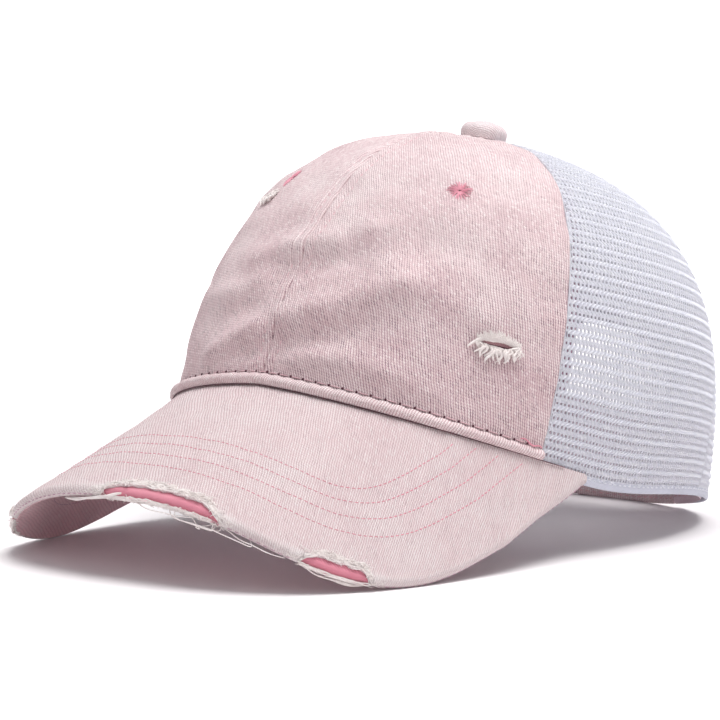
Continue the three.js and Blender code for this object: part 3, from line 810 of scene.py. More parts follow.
@dataclass(frozen=True)
class TwillFinish:
    """Washed cotton twill with pale cords, rosy grooves and worn white places."""

    name: str
    cord: tuple[float, ...]
    groove: tuple[float, ...]
    fleck: tuple[float, ...]
    pale: tuple[float, ...]
    pitch: float = 0.9
    lean: float = 0.0
    depth: float = 0.25
    groove_share: float = 0.95
    fleck_share: float = 0.3
    dusty_share: float = 0.35
    blotch: float = 25.0
    faded_top: float = 0.45

    def make(self, effects: Effects) -> bpy.types.Material:
        """Makes the material."""
        material, graph, shader, cloth, place = start_material(self.name)
        lean = math.radians(self.lean)
        weave = graph.group(effects.twill, {"Cloth": cloth, "Pitch": self.pitch, "Lean": lean})
        washed = graph.group(effects.washed, {"Place": place, "Size": self.blotch})
        wear = graph.add("Attribute", None, attribute_name="wear").outputs["Fac"]
        tone = graph.blend(graph.times(washed["Pale"], 0.6), self.cord, self.pale)
        tone = graph.blend(graph.times(washed["Dusty"], self.dusty_share), tone, self.groove)
        tone = graph.blend(graph.times(weave["Cord"], 0.14), tone, self.groove)
        tone = graph.blend(graph.ramp(weave["Chance"], 0.0, 0.35, 0.7, 0.0), tone, self.pale)
        high = graph.add("SeparateXYZ", {0: place}).outputs[2]
        # Grooves and flecks show less on the upper crown, so it is paler higher up.
        crisp = graph.ramp(high, 0.07, 0.13, 1.0, self.faded_top)
        share = graph.times(crisp, self.groove_share)
        deep = graph.times(graph.ramp(weave["Groove"], 0.15, 0.8), share)
        tone = graph.blend(deep, tone, self.groove)
        low = graph.ramp(weave["Groove"], 0.3, 0.7)
        least = 1.0 - self.fleck_share
        speck = graph.times(graph.ramp(weave["Chance"], least, least + 0.25), low)
        tone = graph.blend(graph.times(speck, graph.times(crisp, 0.85)), tone, self.fleck)
        tone = graph.blend(graph.times(washed["Slub"], 0.2), tone, self.pale)
        fuzz = graph.group(effects.fibre, {"Cloth": cloth, "Stretch": 3.0})
        bare = graph.times(wear, graph.ramp(fuzz["Shade"], 0.0, 1.0, 0.75, 1.0))
        tone = graph.blend(bare, tone, self.pale)
        height = graph.math("ADD", weave["Height"], graph.times(fuzz["Height"], 0.35))
        rough = graph.ramp(weave["Groove"], 0, 1, 0.86, 0.98)
        normal = bump(graph, height, 0.9, self.depth)
        graph.link(shader, {"Base Color": tone, "Normal": normal, "Roughness": rough})
        set_shader(shader, sheen_weight=0.15, sheen_roughness=0.6, specular_ior_level=0.2)
        return material


@dataclass(frozen=True)
class YarnFinish:
    """Plain yarn: soft fibres along the thread. Where wear is 1 it shows its shade colour,
    which paints the shade between the knit's yarns.

    A share of the light passes through it.
    """

    name: str
    tone: tuple[float, ...]
    shade: tuple[float, ...]
    stretch: float = 4.0
    depth: float = 0.12
    roughness: float = 0.85
    sheen: float = 0.2
    passing: float = 0.0

    def make(self, effects: Effects) -> bpy.types.Material:
        """Makes the material."""
        material, graph, shader, cloth, place = start_material(self.name)
        fibre = graph.group(effects.fibre, {"Cloth": cloth, "Stretch": self.stretch})
        washed = graph.group(effects.washed, {"Place": place, "Size": 14.0})
        wear = graph.add("Attribute", None, attribute_name="wear").outputs["Fac"]
        tone = graph.blend(graph.times(fibre["Shade"], 0.7), self.shade, self.tone)
        tone = graph.blend(graph.times(washed["Dusty"], 0.3), tone, self.shade)
        # Painted shade: wear darkens the yarn towards its shade colour, as on the knit between its yarns.
        tone = graph.blend(wear, tone, self.shade)
        normal = bump(graph, fibre["Height"], 0.8, self.depth)
        rough = graph.ramp(fibre["Shade"], 0, 1, self.roughness, self.roughness - 0.1)
        graph.link(shader, {"Base Color": tone, "Normal": normal, "Roughness": rough})
        set_shader(shader, sheen_weight=self.sheen, specular_ior_level=0.3)
        if self.passing > 0:
            thin = graph.add("BsdfTranslucent", {"Color": self.tone})
            mix = graph.add("MixShader", {0: self.passing, 1: shader.outputs[0], 2: thin.outputs[0]})
            graph.link(material.node_tree.nodes["Material Output"], {"Surface": mix.outputs[0]})
        return material


@dataclass(frozen=True)
class PlainWeaveFinish:
    """A fine plain weave, as in tape, sweatband cotton and rose satin."""

    name: str
    tone: tuple[float, ...]
    shade: tuple[float, ...]
    pitch: float = 0.7
    depth: float = 0.12
    roughness: float = 0.8
    sheen: float = 0.2

    def make(self, effects: Effects) -> bpy.types.Material:
        """Makes the material."""
        material, graph, shader, cloth, place = start_material(self.name)
        split = graph.add("SeparateXYZ", {0: cloth})
        number = math.tau / self.pitch
        over = graph.math("SINE", graph.times(split.outputs[0], number))
        under = graph.math("SINE", graph.times(split.outputs[1], number))
        weave = graph.math("MULTIPLY_ADD", graph.times(over, under), 0.5, 0.5)
        fibre = graph.group(effects.fibre, {"Cloth": cloth, "Stretch": 2.0})
        washed = graph.group(effects.washed, {"Place": place, "Size": 18.0})
        height = graph.math("ADD", weave, graph.times(fibre["Height"], 0.6))
        tone = graph.blend(graph.ramp(weave, 0, 1, 0.35, 1.0), self.shade, self.tone)
        tone = graph.blend(graph.times(washed["Dusty"], 0.3), tone, self.shade)
        normal = bump(graph, height, 0.8, self.depth)
        rough = graph.ramp(fibre["Shade"], 0, 1, self.roughness + 0.06, self.roughness - 0.06)
        graph.link(shader, {"Base Color": tone, "Normal": normal, "Roughness": rough})
        set_shader(shader, sheen_weight=self.sheen, specular_ior_level=0.35)
        return material


@dataclass
class Finishes:
    """Every material of the cap."""

    effects: Effects = field(default_factory=Effects)

    def __post_init__(self) -> None:
        """Makes the materials."""
        made = self.effects
        self.twill = TwillFinish(
            "washed_pink_twill",
            cord=colour(233, 211, 212),
            groove=colour(186, 146, 154),
            fleck=colour(112, 80, 92),
            pale=colour(243, 230, 229),
            lean=-15.0,
            dusty_share=0.25,
            groove_share=0.9,
        ).make(made)
        self.roll_twill = TwillFinish(
            "roll_pink_twill",
            cord=colour(242, 224, 224),
            groove=colour(200, 160, 166),
            fleck=colour(150, 108, 120),
            pale=colour(250, 242, 240),
            lean=12.0,
            fleck_share=0.15,
        ).make(made)
        self.brim_twill = TwillFinish(
            "brim_pink_twill",
            cord=colour(225, 209, 209),
            groove=colour(199, 167, 171),
            fleck=colour(148, 118, 128),
            pale=colour(228, 219, 218),
            lean=-40.0,
            groove_share=0.8,
            fleck_share=0.16,
            dusty_share=0.2,
        ).make(made)
        # Painted light: the same pink twill as on top, its colours raised for light bounced up from the
        # floor.
        self.under_twill = TwillFinish(
            "underside_twill",
            cord=colour(242, 198, 204),
            groove=colour(214, 170, 178),
            fleck=colour(160, 120, 132),
            pale=colour(236, 206, 210),
            lean=-40.0,
            groove_share=0.6,
            fleck_share=0.1,
            depth=0.15,
        ).make(made)
        # The knit's shade colour paints the shade on the sheet between its yarns.
        self.knit = YarnFinish(
            "white_knit", colour(255, 255, 255), colour(232, 233, 243), sheen=0.1, passing=0.45
        ).make(made)
        self.tape = PlainWeaveFinish("white_tape", colour(238, 238, 246), colour(206, 206, 220)).make(made)
        self.hem = PlainWeaveFinish("net_hem_tape", colour(208, 209, 221), colour(184, 185, 198)).make(made)
        self.seam = PlainWeaveFinish("rosy_seam_tape", colour(214, 176, 192), colour(150, 98, 124)).make(made)
        self.button_twill = TwillFinish(
            "button_pink_twill",
            cord=colour(242, 226, 227),
            groove=colour(202, 170, 176),
            fleck=colour(150, 118, 130),
            pale=colour(248, 240, 240),
            fleck_share=0.1,
        ).make(made)
        self.backing = PlainWeaveFinish(
            "slit_backing", colour(206, 160, 164), colour(170, 122, 130)
        ).make(made)
        self.band = PlainWeaveFinish("band_cotton", colour(240, 222, 229), colour(200, 164, 178)).make(made)
        self.satin = PlainWeaveFinish(
            "rose_satin", colour(236, 152, 168), colour(200, 104, 128), pitch=0.5, depth=0.16, roughness=0.5
        ).make(made)
        self.cotton = YarnFinish(
            "bare_cotton", colour(254, 250, 247), colour(236, 226, 223), depth=0.2
        ).make(made)
        self.rose = YarnFinish("rose_thread", colour(238, 170, 184), colour(218, 136, 154)).make(made)
        self.eyelet_rose = YarnFinish(
            "eyelet_thread", colour(240, 186, 196), colour(222, 152, 168)
        ).make(made)
        self.soft_rose = YarnFinish(
            "pale_rose_thread", colour(242, 214, 216), colour(222, 178, 186)
        ).make(made)
        # Dark thread: painted shade in the needle holes and along the slits; at the roll's joint, a dark seam
        # line and painted shade.
        self.dark = YarnFinish("needle_hole", colour(120, 74, 84), colour(84, 46, 58)).make(made)


# Crown


@dataclass(frozen=True)
class Slit:
    """A frayed slit: its middle as an angle and a length up the meridian, its size and its turn."""

    angle: float
    climb: float
    length: float
    width: float
    turn: float


@dataclass(frozen=True)
class Fringe:
    """Cotton ends along one lip of a slit: how many, which way, how long, how thick, how lively."""

    count: int
    sign: int
    shortest: float
    longest: float
    width: float
    lift: float
    curl: float
    start: float = -0.3


DEGREE_LENGTH = 1.45
CLIMB_LENGTH = 145.0


@dataclass(frozen=True)
class Fold:
    """A soft fold in the washed front along a line of angles and shares, a valley where it is below 0."""

    line: tuple[tuple[float, float], ...]
    width: float
    height: float

    def over(self, angle: Array, share: Array) -> Array:
        """How far the fold lifts the cloth at each place, in millimetres."""
        place = np.stack(np.broadcast_arrays(angle * DEGREE_LENGTH, share * CLIMB_LENGTH), axis=-1)
        corners = np.array(self.line) * np.array([DEGREE_LENGTH, CLIMB_LENGTH])
        away = np.full(place.shape[:-1], 1e9)
        for start, end in zip(corners[:-1], corners[1:]):
            span = end - start
            along = np.clip(((place - start) @ span) / (span @ span), 0, 1)
            away = np.minimum(away, np.linalg.norm(place - start - along[..., None] * span, axis=-1))
        return self.height * np.exp(-((away / self.width) ** 2))


FOLDS = (
    Fold(((3, 0.192), (12, 0.236), (19, 0.27), (26, 0.295)), 5.0, 2.8),
    Fold(((2, 0.126), (13.4, 0.166), (21, 0.205)), 4.0, -1.3),
    Fold(((21, 0.345), (32, 0.3), (43, 0.262)), 6.0, 1.6),
    Fold(((-14, 0.337), (-3.6, 0.364), (7, 0.388)), 4.5, 2.0),
    Fold(((14, 0.43), (20, 0.45)), 4.0, 1.2),
    Fold(((-12, 0.26), (-0.5, 0.3), (12.5, 0.34)), 4.0, -1.0),
    Fold(((8, 0.096), (17.5, 0.122), (26, 0.108), (36, 0.085)), 4.5, 1.5),
    Fold(((-18, 0.105), (-5.6, 0.165)), 3.6, 1.7),
    Fold(((-14.4, 0.072), (-3, 0.108)), 3.0, -0.9),
    Fold(((-24, 0.245), (-15, 0.253), (-8, 0.28)), 4.0, 1.4),
    Fold(((-20, 0.18), (-10, 0.212)), 4.0, -1.0),
    Fold(((40, 0.24), (44, 0.19), (43, 0.1)), 5.0, -1.2),
    Fold(((50, 0.32), (53, 0.2), (53, 0.1)), 4.0, 0.9),
)


def rounded_wall(share: Array, inner: float, outer: float, edge: float) -> tuple[Array, Array]:
    """Offsets of a wall whose two long edges are rounded.

    Args:
        share: 0 to 1 across the strip.
        inner: the inside's offset from the crown.
        outer: the outside's offset.
        edge: the share of the strip's width that each edge takes to round off.

    Returns:
        The inside's and the outside's offsets.
    """
    nearest = np.clip(np.minimum(share, 1 - share) / edge, 0, 1)
    full = np.sqrt(1 - (1 - nearest) ** 2) * 0.96 + 0.04
    middle = (inner + outer) / 2
    half = (outer - inner) / 2 * full
    return middle - half, middle + half


def even_ends(steps: int, edge: float = 0.2) -> Array:
    """Shares from 0 to 1 that lie closer together at both ends."""
    share = np.linspace(0, 1, steps)
    return share * (1 - edge) + edge * (0.5 - 0.5 * np.cos(share * math.pi))


@dataclass
class FrontPanels:
    """The two twill panels in front, with their slits, seams and the roll at their foot."""

    crown: CrownForm
    finishes: Finishes
    wall: float = 1.2
    top_radius: float = 3.5
    cell: float = 1.15
    eyelet_radius: float = 4.5
    eyelet_bore: float = 1.3
    roll_height: float = 4.2
    roll_proud: float = 1.9
    hole_pitch: float = ROLL_STITCH.pitch
    deepest: float = 1.3
    usual_slit: float = 12.5
    cut_width: float = 96.0
    cut_height: float = 138.0
    eyelets: dict[Side, tuple[float, float]] = field(
        default_factory=lambda: {Side.LEFT: (33.0, 91.3), Side.RIGHT: (-25.5, 90.0)}
    )
    fringes: tuple[Fringe, ...] = (
        Fringe(280, 1, 0.8, 2.6, 0.26, 0.9, 0.1, -0.5),
        Fringe(150, 1, 1.8, 3.4, 0.22, 0.7, 0.15, -0.2),
        Fringe(80, -1, 0.8, 2.2, 0.26, 0.7, 0.2, -0.7),
        Fringe(34, -1, 2.0, 4.4, 0.62, 1.3, 0.5, -0.6),
        Fringe(16, -1, 3.2, 5.2, 0.78, 1.6, 0.6, -0.4),
    )
    eyelet_spread: dict[Side, float] = field(default_factory=lambda: {Side.LEFT: 1.0, Side.RIGHT: 0.45})
    slits: dict[Side, Slit] = field(
        default_factory=lambda: {
            Side.LEFT: Slit(47.3, 37.0, 12.5, 3.2, 3),
            Side.RIGHT: Slit(-28.0, 81.0, 7.0, 2.2, -8),
        }
    )

    def __post_init__(self) -> None:
        """Lays out each panel's flat cut."""
        seam = self.crown.front_seam
        self.cuts = {side: PanelMap(self.crown, *sorted((0.0, side.value * seam))) for side in Side}

    def build(self) -> None:
        """Builds both panels and what is sewn on them."""
        for side in Side:
            self.build_panel(side)
            self.build_slit(side)
            self.build_eyelet(side)
        self.build_roll()
        self.build_seams()

    @property
    def roll_top(self) -> float:
        """Length up the meridian to the line that sews the roll down."""
        return self.crown.rim_depth + 0.3 + self.roll_height + 0.3

    def along_rim(self, angle: Array) -> Array:
        """Millimetres round the foot of the front from its middle."""
        steps = np.linspace(-64, 64, 257)
        run = run_along(self.crown.point(steps, 0.05))
        return np.interp(angle, steps, run - run[len(steps) // 2])

    def height(self, angle: Array, share: Array) -> Array:
        """Height of the twill over the smooth crown, with its folds, wrinkles and seam groove."""
        crown = self.crown
        x, y = angle * DEGREE_LENGTH, share * CLIMB_LENGTH
        soft = ripples(x, y * 1.6, 30, 5) * 0.35 + ripples(x, y, 12, 8) * 0.12
        soft = soft + sum(fold.over(angle, share) for fold in FOLDS)
        away = np.abs(angle) / crown.turn_for(1.0, angle, share)
        groove = -0.85 * np.exp(-((away / 0.55) ** 2)) - 0.75 * np.exp(-(((away - 3.4) / 0.7) ** 2))
        over_roll = (share - crown.climb(angle, self.roll_top)) * CLIMB_LENGTH
        calm = smooth_step(-2, 8, over_roll)
        pulled = np.abs(np.cos(self.along_rim(angle) * math.pi / self.hole_pitch)) ** 3
        pucker = -0.45 * pulled * np.exp(-((over_roll / 2.2) ** 2))
        return crown.relief(angle, share) + np.maximum(soft * calm + groove + pucker, -self.deepest)

    def slit_frame(self, side: Side, angle: Array, share: Array) -> tuple[Array, Array]:
        """Places along and across a slit, in millimetres."""
        slit = self.slits[side]
        point = self.crown.point(angle, share)
        middle = self.crown.climb(slit.angle, slit.climb)
        centre = self.crown.point(slit.angle, middle)
        along = unit(self.crown.point(slit.angle + 0.5, middle) - self.crown.point(slit.angle - 0.5, middle))
        up = unit(self.crown.point(slit.angle, middle + 0.01) - self.crown.point(slit.angle, middle - 0.01))
        x = ((point - centre) * along).sum(axis=-1)
        y = ((point - centre) * up).sum(axis=-1)
        turn = math.radians(slit.turn)
        return x * math.cos(turn) + y * math.sin(turn), y * math.cos(turn) - x * math.sin(turn)

    def slit_point(self, side: Side, x: Array, y: Array, height: Array) -> tuple[Array, Array]:
        """A point and its normal at a place along and across a slit."""
        slit = self.slits[side]
        turn = math.radians(slit.turn)
        across = x * math.cos(turn) - y * math.sin(turn)
        up = x * math.sin(turn) + y * math.cos(turn)
        degrees = self.crown.turn_for(1.0, slit.angle, self.crown.climb(slit.angle, slit.climb))
        angle = slit.angle + across * degrees
        share = self.crown.climb(angle, slit.climb + up)
        normal = self.crown.normal(angle, share)
        base = self.crown.point(angle, share) + normal * self.height(angle, share)[..., None]
        return base + normal * np.asarray(height)[..., None], normal

    def build_panel(self, side: Side) -> None:
        """One front panel, cut through at its slit and at its eyelet."""
        crown = self.crown
        gap = 0.05
        ends = np.sort([0.0, side.value * crown.front_seam])
        columns = int(self.cut_width / self.cell)
        rows = int(self.cut_height / self.cell)
        turn = even_ends(columns, 0.35)[None, :]
        angle = np.broadcast_to(ends[0] + (ends[1] - ends[0]) * turn, (rows, columns))
        top = crown.near_apex(angle[0], self.top_radius)
        full = np.array([crown.length(a, t) for a, t in zip(angle[0], top)])
        share = crown.climb(angle, np.linspace(0, 1, rows)[:, None] * full[None, :])
        angle = angle + crown.turn_for(gap, angle, share) * (1 - 2 * turn)
        x, y = self.slit_frame(side, angle, share)
        slit = self.slits[side]
        lens = np.abs(x) / (slit.length / 2)
        inside = np.abs(y) - slit.width * 0.5 * (1 - lens**2)
        wear = np.exp(-np.maximum(inside, 0)) * (lens < 1.2)
        point = crown.point(angle, share)
        turn_at, climb_at = self.eyelets[side]
        hole = crown.point(turn_at, crown.climb(turn_at, climb_at))
        from_hole = np.linalg.norm(point - hole, axis=-1)
        lip = 0.5 * np.exp(-((np.maximum(inside, 0) / 1.8) ** 2)) * (lens < 1.3)
        height = self.height(angle, share) + lip
        normal = crown.normal(angle, share)
        outer = point + normal * height[..., None]
        inner = point + normal * (np.minimum(height, crown.relief(angle, share)) - self.wall)[..., None]
        mid_x, mid_y = (x[:-1, :-1] + x[1:, 1:]) / 2, (y[:-1, :-1] + y[1:, 1:]) / 2
        open_slit = np.abs(mid_y) < slit.width * 0.5 * (1 - (np.abs(mid_x) / (slit.length / 2)) ** 2)
        near_hole = (from_hole[:-1, :-1] + from_hole[1:, 1:]) / 2 < self.eyelet_bore * 0.8
        piece = Piece(f"front_cloth_{side.word}")
        flat = self.cuts[side].flat(angle, share)
        piece.shell(outer, inner, flat, np.clip(wear * 0.8, 0, 1), ~(open_slit | near_hole))
        made = piece.build(Slot.TWILL, self.finishes.twill, (f"front_panel_{side.word}",))

    def build_slit(self, side: Side) -> None:
        """The backing seen through a slit, a dark thread of painted shadow along its lower lip, and the
        cotton that frays round it.
        """
        slit = self.slits[side]
        rng = np.random.default_rng(21 + side.value)
        scale = slit.length / self.usual_slit
        backing = Piece(f"slit_backing_{side.word}")
        x, y = np.meshgrid(np.linspace(-0.62, 0.62, 25) * slit.length, np.linspace(-1, 1, 15) * slit.width)
        outer, _ = self.slit_point(side, x, y, np.full(x.shape, -0.35))
        inner, _ = self.slit_point(side, x, y, np.full(x.shape, -1.1))
        backing.shell(outer, inner, np.stack([x, y], axis=-1))
        backing.build(Slot.TWILL, self.finishes.backing)
        # A dark thread along the slit's lower lip: painted shadow where the lower cloth lies over the
        # backing.
        fold = Piece(f"slit_fold_{side.word}")
        run = np.linspace(-0.5, 0.5, 20)[None, :] * slit.length
        paths, normals = self.slit_point(side, run, -0.14 * slit.width + 0 * run, np.full(run.shape, 0.0))
        fold.threads(paths, normals, 0.55, 0.4, taper=0.7)
        fold.build(Slot.THREAD, self.finishes.dark)
        fray = Piece(f"slit_fray_{side.word}")
        for fringe in self.fringes:
            self.add_fringe(fray, side, rng, fringe)
        for up_at in (0.75, 0.9, 1.05, 1.2, -0.55, -0.7, -0.85, -1.0):
            run = np.linspace(-0.55, 0.55, 18)[None, :] * slit.length
            bow = 1 - np.clip(np.abs(run) / (slit.length * 0.6), 0, 1) ** 2
            wave = ripples(run, run * 0 + up_at * 30, 5, int(abs(up_at) * 20) + 3) * 0.25
            lift = 0.55 + 0.35 * wave if up_at > 0.3 else 0.2 + 0.2 * wave
            up = up_at * slit.width * 0.5 * (0.4 + 0.6 * bow) + wave
            paths, normals = self.slit_point(side, run, up, lift)
            fray.threads(paths, normals, 0.55, 0.45, taper=0.6)
        turn = np.linspace(0, 1, 18)[None, :]
        loose = (
            (-4.6 - 4.8 * turn, 1.6 - 4.2 * turn**1.3, 0.5 + 0.7 * np.sin(turn * math.pi), 0.95),
            (2.2 + 4.0 * np.sin(turn * 2.3), -1.4 + 1.6 * np.sin(turn * 3.0), 1.0 + 0.6 * turn, 0.7),
        )
        for across, up, lift, width in loose:
            paths, normals = self.slit_point(side, across * scale, up * scale, lift)
            fray.threads(paths, normals, width * scale, width * 0.8 * scale, taper=0.4)
        fray.build(Slot.TWILL, self.finishes.cotton)

    def add_fringe(self, fray: Piece, side: Side, rng: np.random.Generator, fringe: Fringe) -> None:
        """Short cotton ends that lie away from one lip of a slit.

        Args:
            fray: the piece that gathers them.
            side: whose slit it is.
            rng: the source of chance.
            fringe: their number, way, lengths, thickness and liveliness.
        """
        slit = self.slits[side]
        scale = (slit.length / self.usual_slit) ** 0.4
        number = (fringe.count, 1)
        steps = np.linspace(0, 1, 9)[None, :]
        start = np.sort(rng.uniform(-0.54, 0.54, number), axis=0) * slit.length
        lip = slit.width * 0.5 * (1 - np.clip(np.abs(start) / (slit.length * 0.62), 0, 1) ** 2)
        long = rng.uniform(fringe.shortest, fringe.longest, number) * scale
        long = long * (1 - 0.4 * (np.abs(start) / slit.length * 1.7) ** 2)
        spread, phase = rng.normal(-0.1, 0.2, number), rng.uniform(0, math.tau, number)
        curl = fringe.curl * scale * (np.sin(steps * 5.5 + phase) - np.sin(phase))
        x = start + long * steps * spread + curl
        y = fringe.sign * (lip + fringe.start + rng.uniform(-0.3, 0.3, number) + long * steps)
        height = 0.25 + fringe.lift * scale * rng.uniform(0.4, 1.0, number) * np.sin(0.4 + steps * 2.4)
        height = height + 0.5 * np.abs(curl)
        paths, normals = self.slit_point(side, x, y, height)
        thick = rng.uniform(0.75, 1.25, fringe.count) * fringe.width
        fray.threads(paths, normals, thick, thick * 0.85, taper=0.4)

    def build_eyelet(self, side: Side) -> None:
        """The embroidered eyelet: satin stitches laid round a hole."""
        angle, climb = self.eyelets[side]
        share = float(self.crown.climb(angle, climb))
        normal = self.crown.normal(angle, share)
        lift = float(self.height(np.array(angle), np.array(share)))
        centre = self.crown.point(angle, share) + normal * lift
        along = unit(self.crown.point(angle + 0.5, share) - self.crown.point(angle - 0.5, share))
        up = np.cross(normal, along)
        rng = np.random.default_rng(40 + side.value)
        count = 25
        turns = (np.arange(count) + rng.uniform(-0.25, 0.25, count)) / count * math.tau
        outward = along * self.eyelet_spread[side] * np.cos(turns)[:, None] + up * np.sin(turns)[:, None]
        steps = np.linspace(0, 1, 7)[None, :, None]
        reach = self.eyelet_radius * rng.uniform(0.82, 1.05, (count, 1, 1))
        radius = self.eyelet_bore * 0.35 + (reach - self.eyelet_bore * 0.35) * steps
        arch = 0.42 * np.sin(np.clip(steps, 0.02, 0.98) * math.pi) ** 0.5 - 0.12
        paths = centre + outward[:, None, :] * radius + normal * arch
        piece = Piece(f"eyelet_stitches_{side.word}")
        width = rng.uniform(0.36, 0.55, count)
        piece.threads(paths, np.broadcast_to(normal, paths.shape), width, 0.4, taper=0.25)
        piece.build(Slot.THREAD, self.finishes.eyelet_rose, (f"eyelet_{side.word}",))

    def build_roll(self) -> None:
        """The rolled hem over the brim, pinched where each stitch pulls it down."""
        crown = self.crown
        columns, rows = 340, 13
        angle = np.linspace(-crown.front_seam + 0.2, crown.front_seam - 0.2, columns)[None, :]
        share_across = even_ends(rows, 0.6)[:, None]
        start = crown.rim_depth + 0.3
        along = np.broadcast_to(self.along_rim(angle), (rows, columns))
        pinch = np.abs(np.sin(along * math.pi / self.hole_pitch)) ** 0.6
        drop = 0.55 * smooth_step(25, 61, np.abs(angle))
        wide = self.roll_height + 0.5 * (pinch - 1) * share_across - drop
        length = start - 0.4 * drop + share_across * wide
        angles = np.broadcast_to(angle, (rows, columns))
        share = crown.climb(angles, length)
        bulge = np.sin(math.pi * np.clip(share_across, 0.01, 0.99)) ** 0.65
        uneven = 1 + 0.1 * ripples(along, along * 0, 9, 14) - 0.25 * (1 - pinch) * share_across
        middle_fold = 1 - 0.25 * np.exp(-(((along - 0.5) / 0.8) ** 2))
        outer = crown.raised(angles, share, 0.8 + self.roll_proud * bulge * uneven * middle_fold)
        inner = crown.raised(angles, share, np.full(angles.shape, 0.75))
        cloth = np.stack([along, np.broadcast_to(share_across * 7, (rows, columns))], axis=-1)
        piece = Piece("foot_roll")
        piece.shell(outer, inner, cloth, 0.1)
        piece.build(Slot.TWILL, self.finishes.roll_twill, ("base_roll",))

    def build_seams(self) -> None:
        """Topstitching beside the middle seam and over the roll, the roll's needle holes and joint line, and
        a loose thread by the mesh.
        """
        crown = self.crown
        thread = Piece("front_topstitch")
        lengths = np.linspace(9, 128, 160)
        for sign in (-1, 1):
            share = crown.climb(sign * 3, lengths)
            angle = sign * crown.turn_for(3.4, sign * 3, share)
            thread.sew(crown, angle, share, self.height(angle, share), SEAM_STITCH)
        thread.build(Slot.THREAD, self.finishes.soft_rose)
        angle = np.linspace(-crown.front_seam + 1.5, crown.front_seam - 1.0, 420)
        drop = 0.8 * smooth_step(25, 61, np.abs(angle))
        share = crown.climb(angle, self.roll_top + 0.35 - drop)
        points = crown.raised(angle, share, self.height(angle, share))
        normals = crown.normal(angle, share)
        line = Piece("roll_stitch_line")
        stitches(line, points, normals, ROLL_STITCH)
        line.build(Slot.THREAD, self.finishes.soft_rose)
        # Dark dots at the needle holes: painted shade inside each hole.
        holes = Piece("roll_needle_holes")
        run = self.along_rim(angle)
        first, last = int(run[0] / self.hole_pitch), int(run[-1] / self.hole_pitch)
        marks = (np.arange(first, last) + 0.5) * self.hole_pitch
        at = read_along(marks[:, None] + np.linspace(-0.4, 0.4, 4), run, points)
        ups = read_along(marks[:, None] + np.zeros(4), run, normals)
        holes.threads(at + ups * 0.12, ups, 0.9, 0.45, sides=6, taper=0.5)
        # A dark thread in the joint under the roll: partly its dark seam line, partly painted shade under the
        # roll.
        joint = np.linspace(-crown.front_seam - 6, crown.front_seam + 6, 300)[None, :]
        share = crown.climb(joint, crown.rim_depth + 0.25)
        paths = crown.raised(joint, share, np.full(joint.shape, 1.35))
        holes.threads(paths, crown.normal(joint, share), 0.3, 0.6, sides=6)
        holes.build(Slot.THREAD, self.finishes.dark)
        tail = Piece("loose_seam_thread")
        steps = np.linspace(0, 1, 16)[None, :]
        angle = crown.front_seam - 6.0 + 5.4 * steps
        share = crown.climb(angle, self.roll_top + 0.4 - 1.2 * steps + 0.5 * np.sin(steps * 9))
        paths = crown.raised(angle, share, 0.9 + 0.7 * np.sin(steps * math.pi))
        tail.threads(paths, crown.normal(angle, share), 0.5, 0.4, sides=5, taper=0.3)
        tail.build(Slot.THREAD, self.finishes.rose)


@dataclass(frozen=True)
class Opening:
    """The ponytail opening: half its turn, its legs' and its top's shares, its binding's width."""

    half_angle: float = 20.3
    spring: float = 0.28
    top: float = 0.41
    binding: float = 6.4


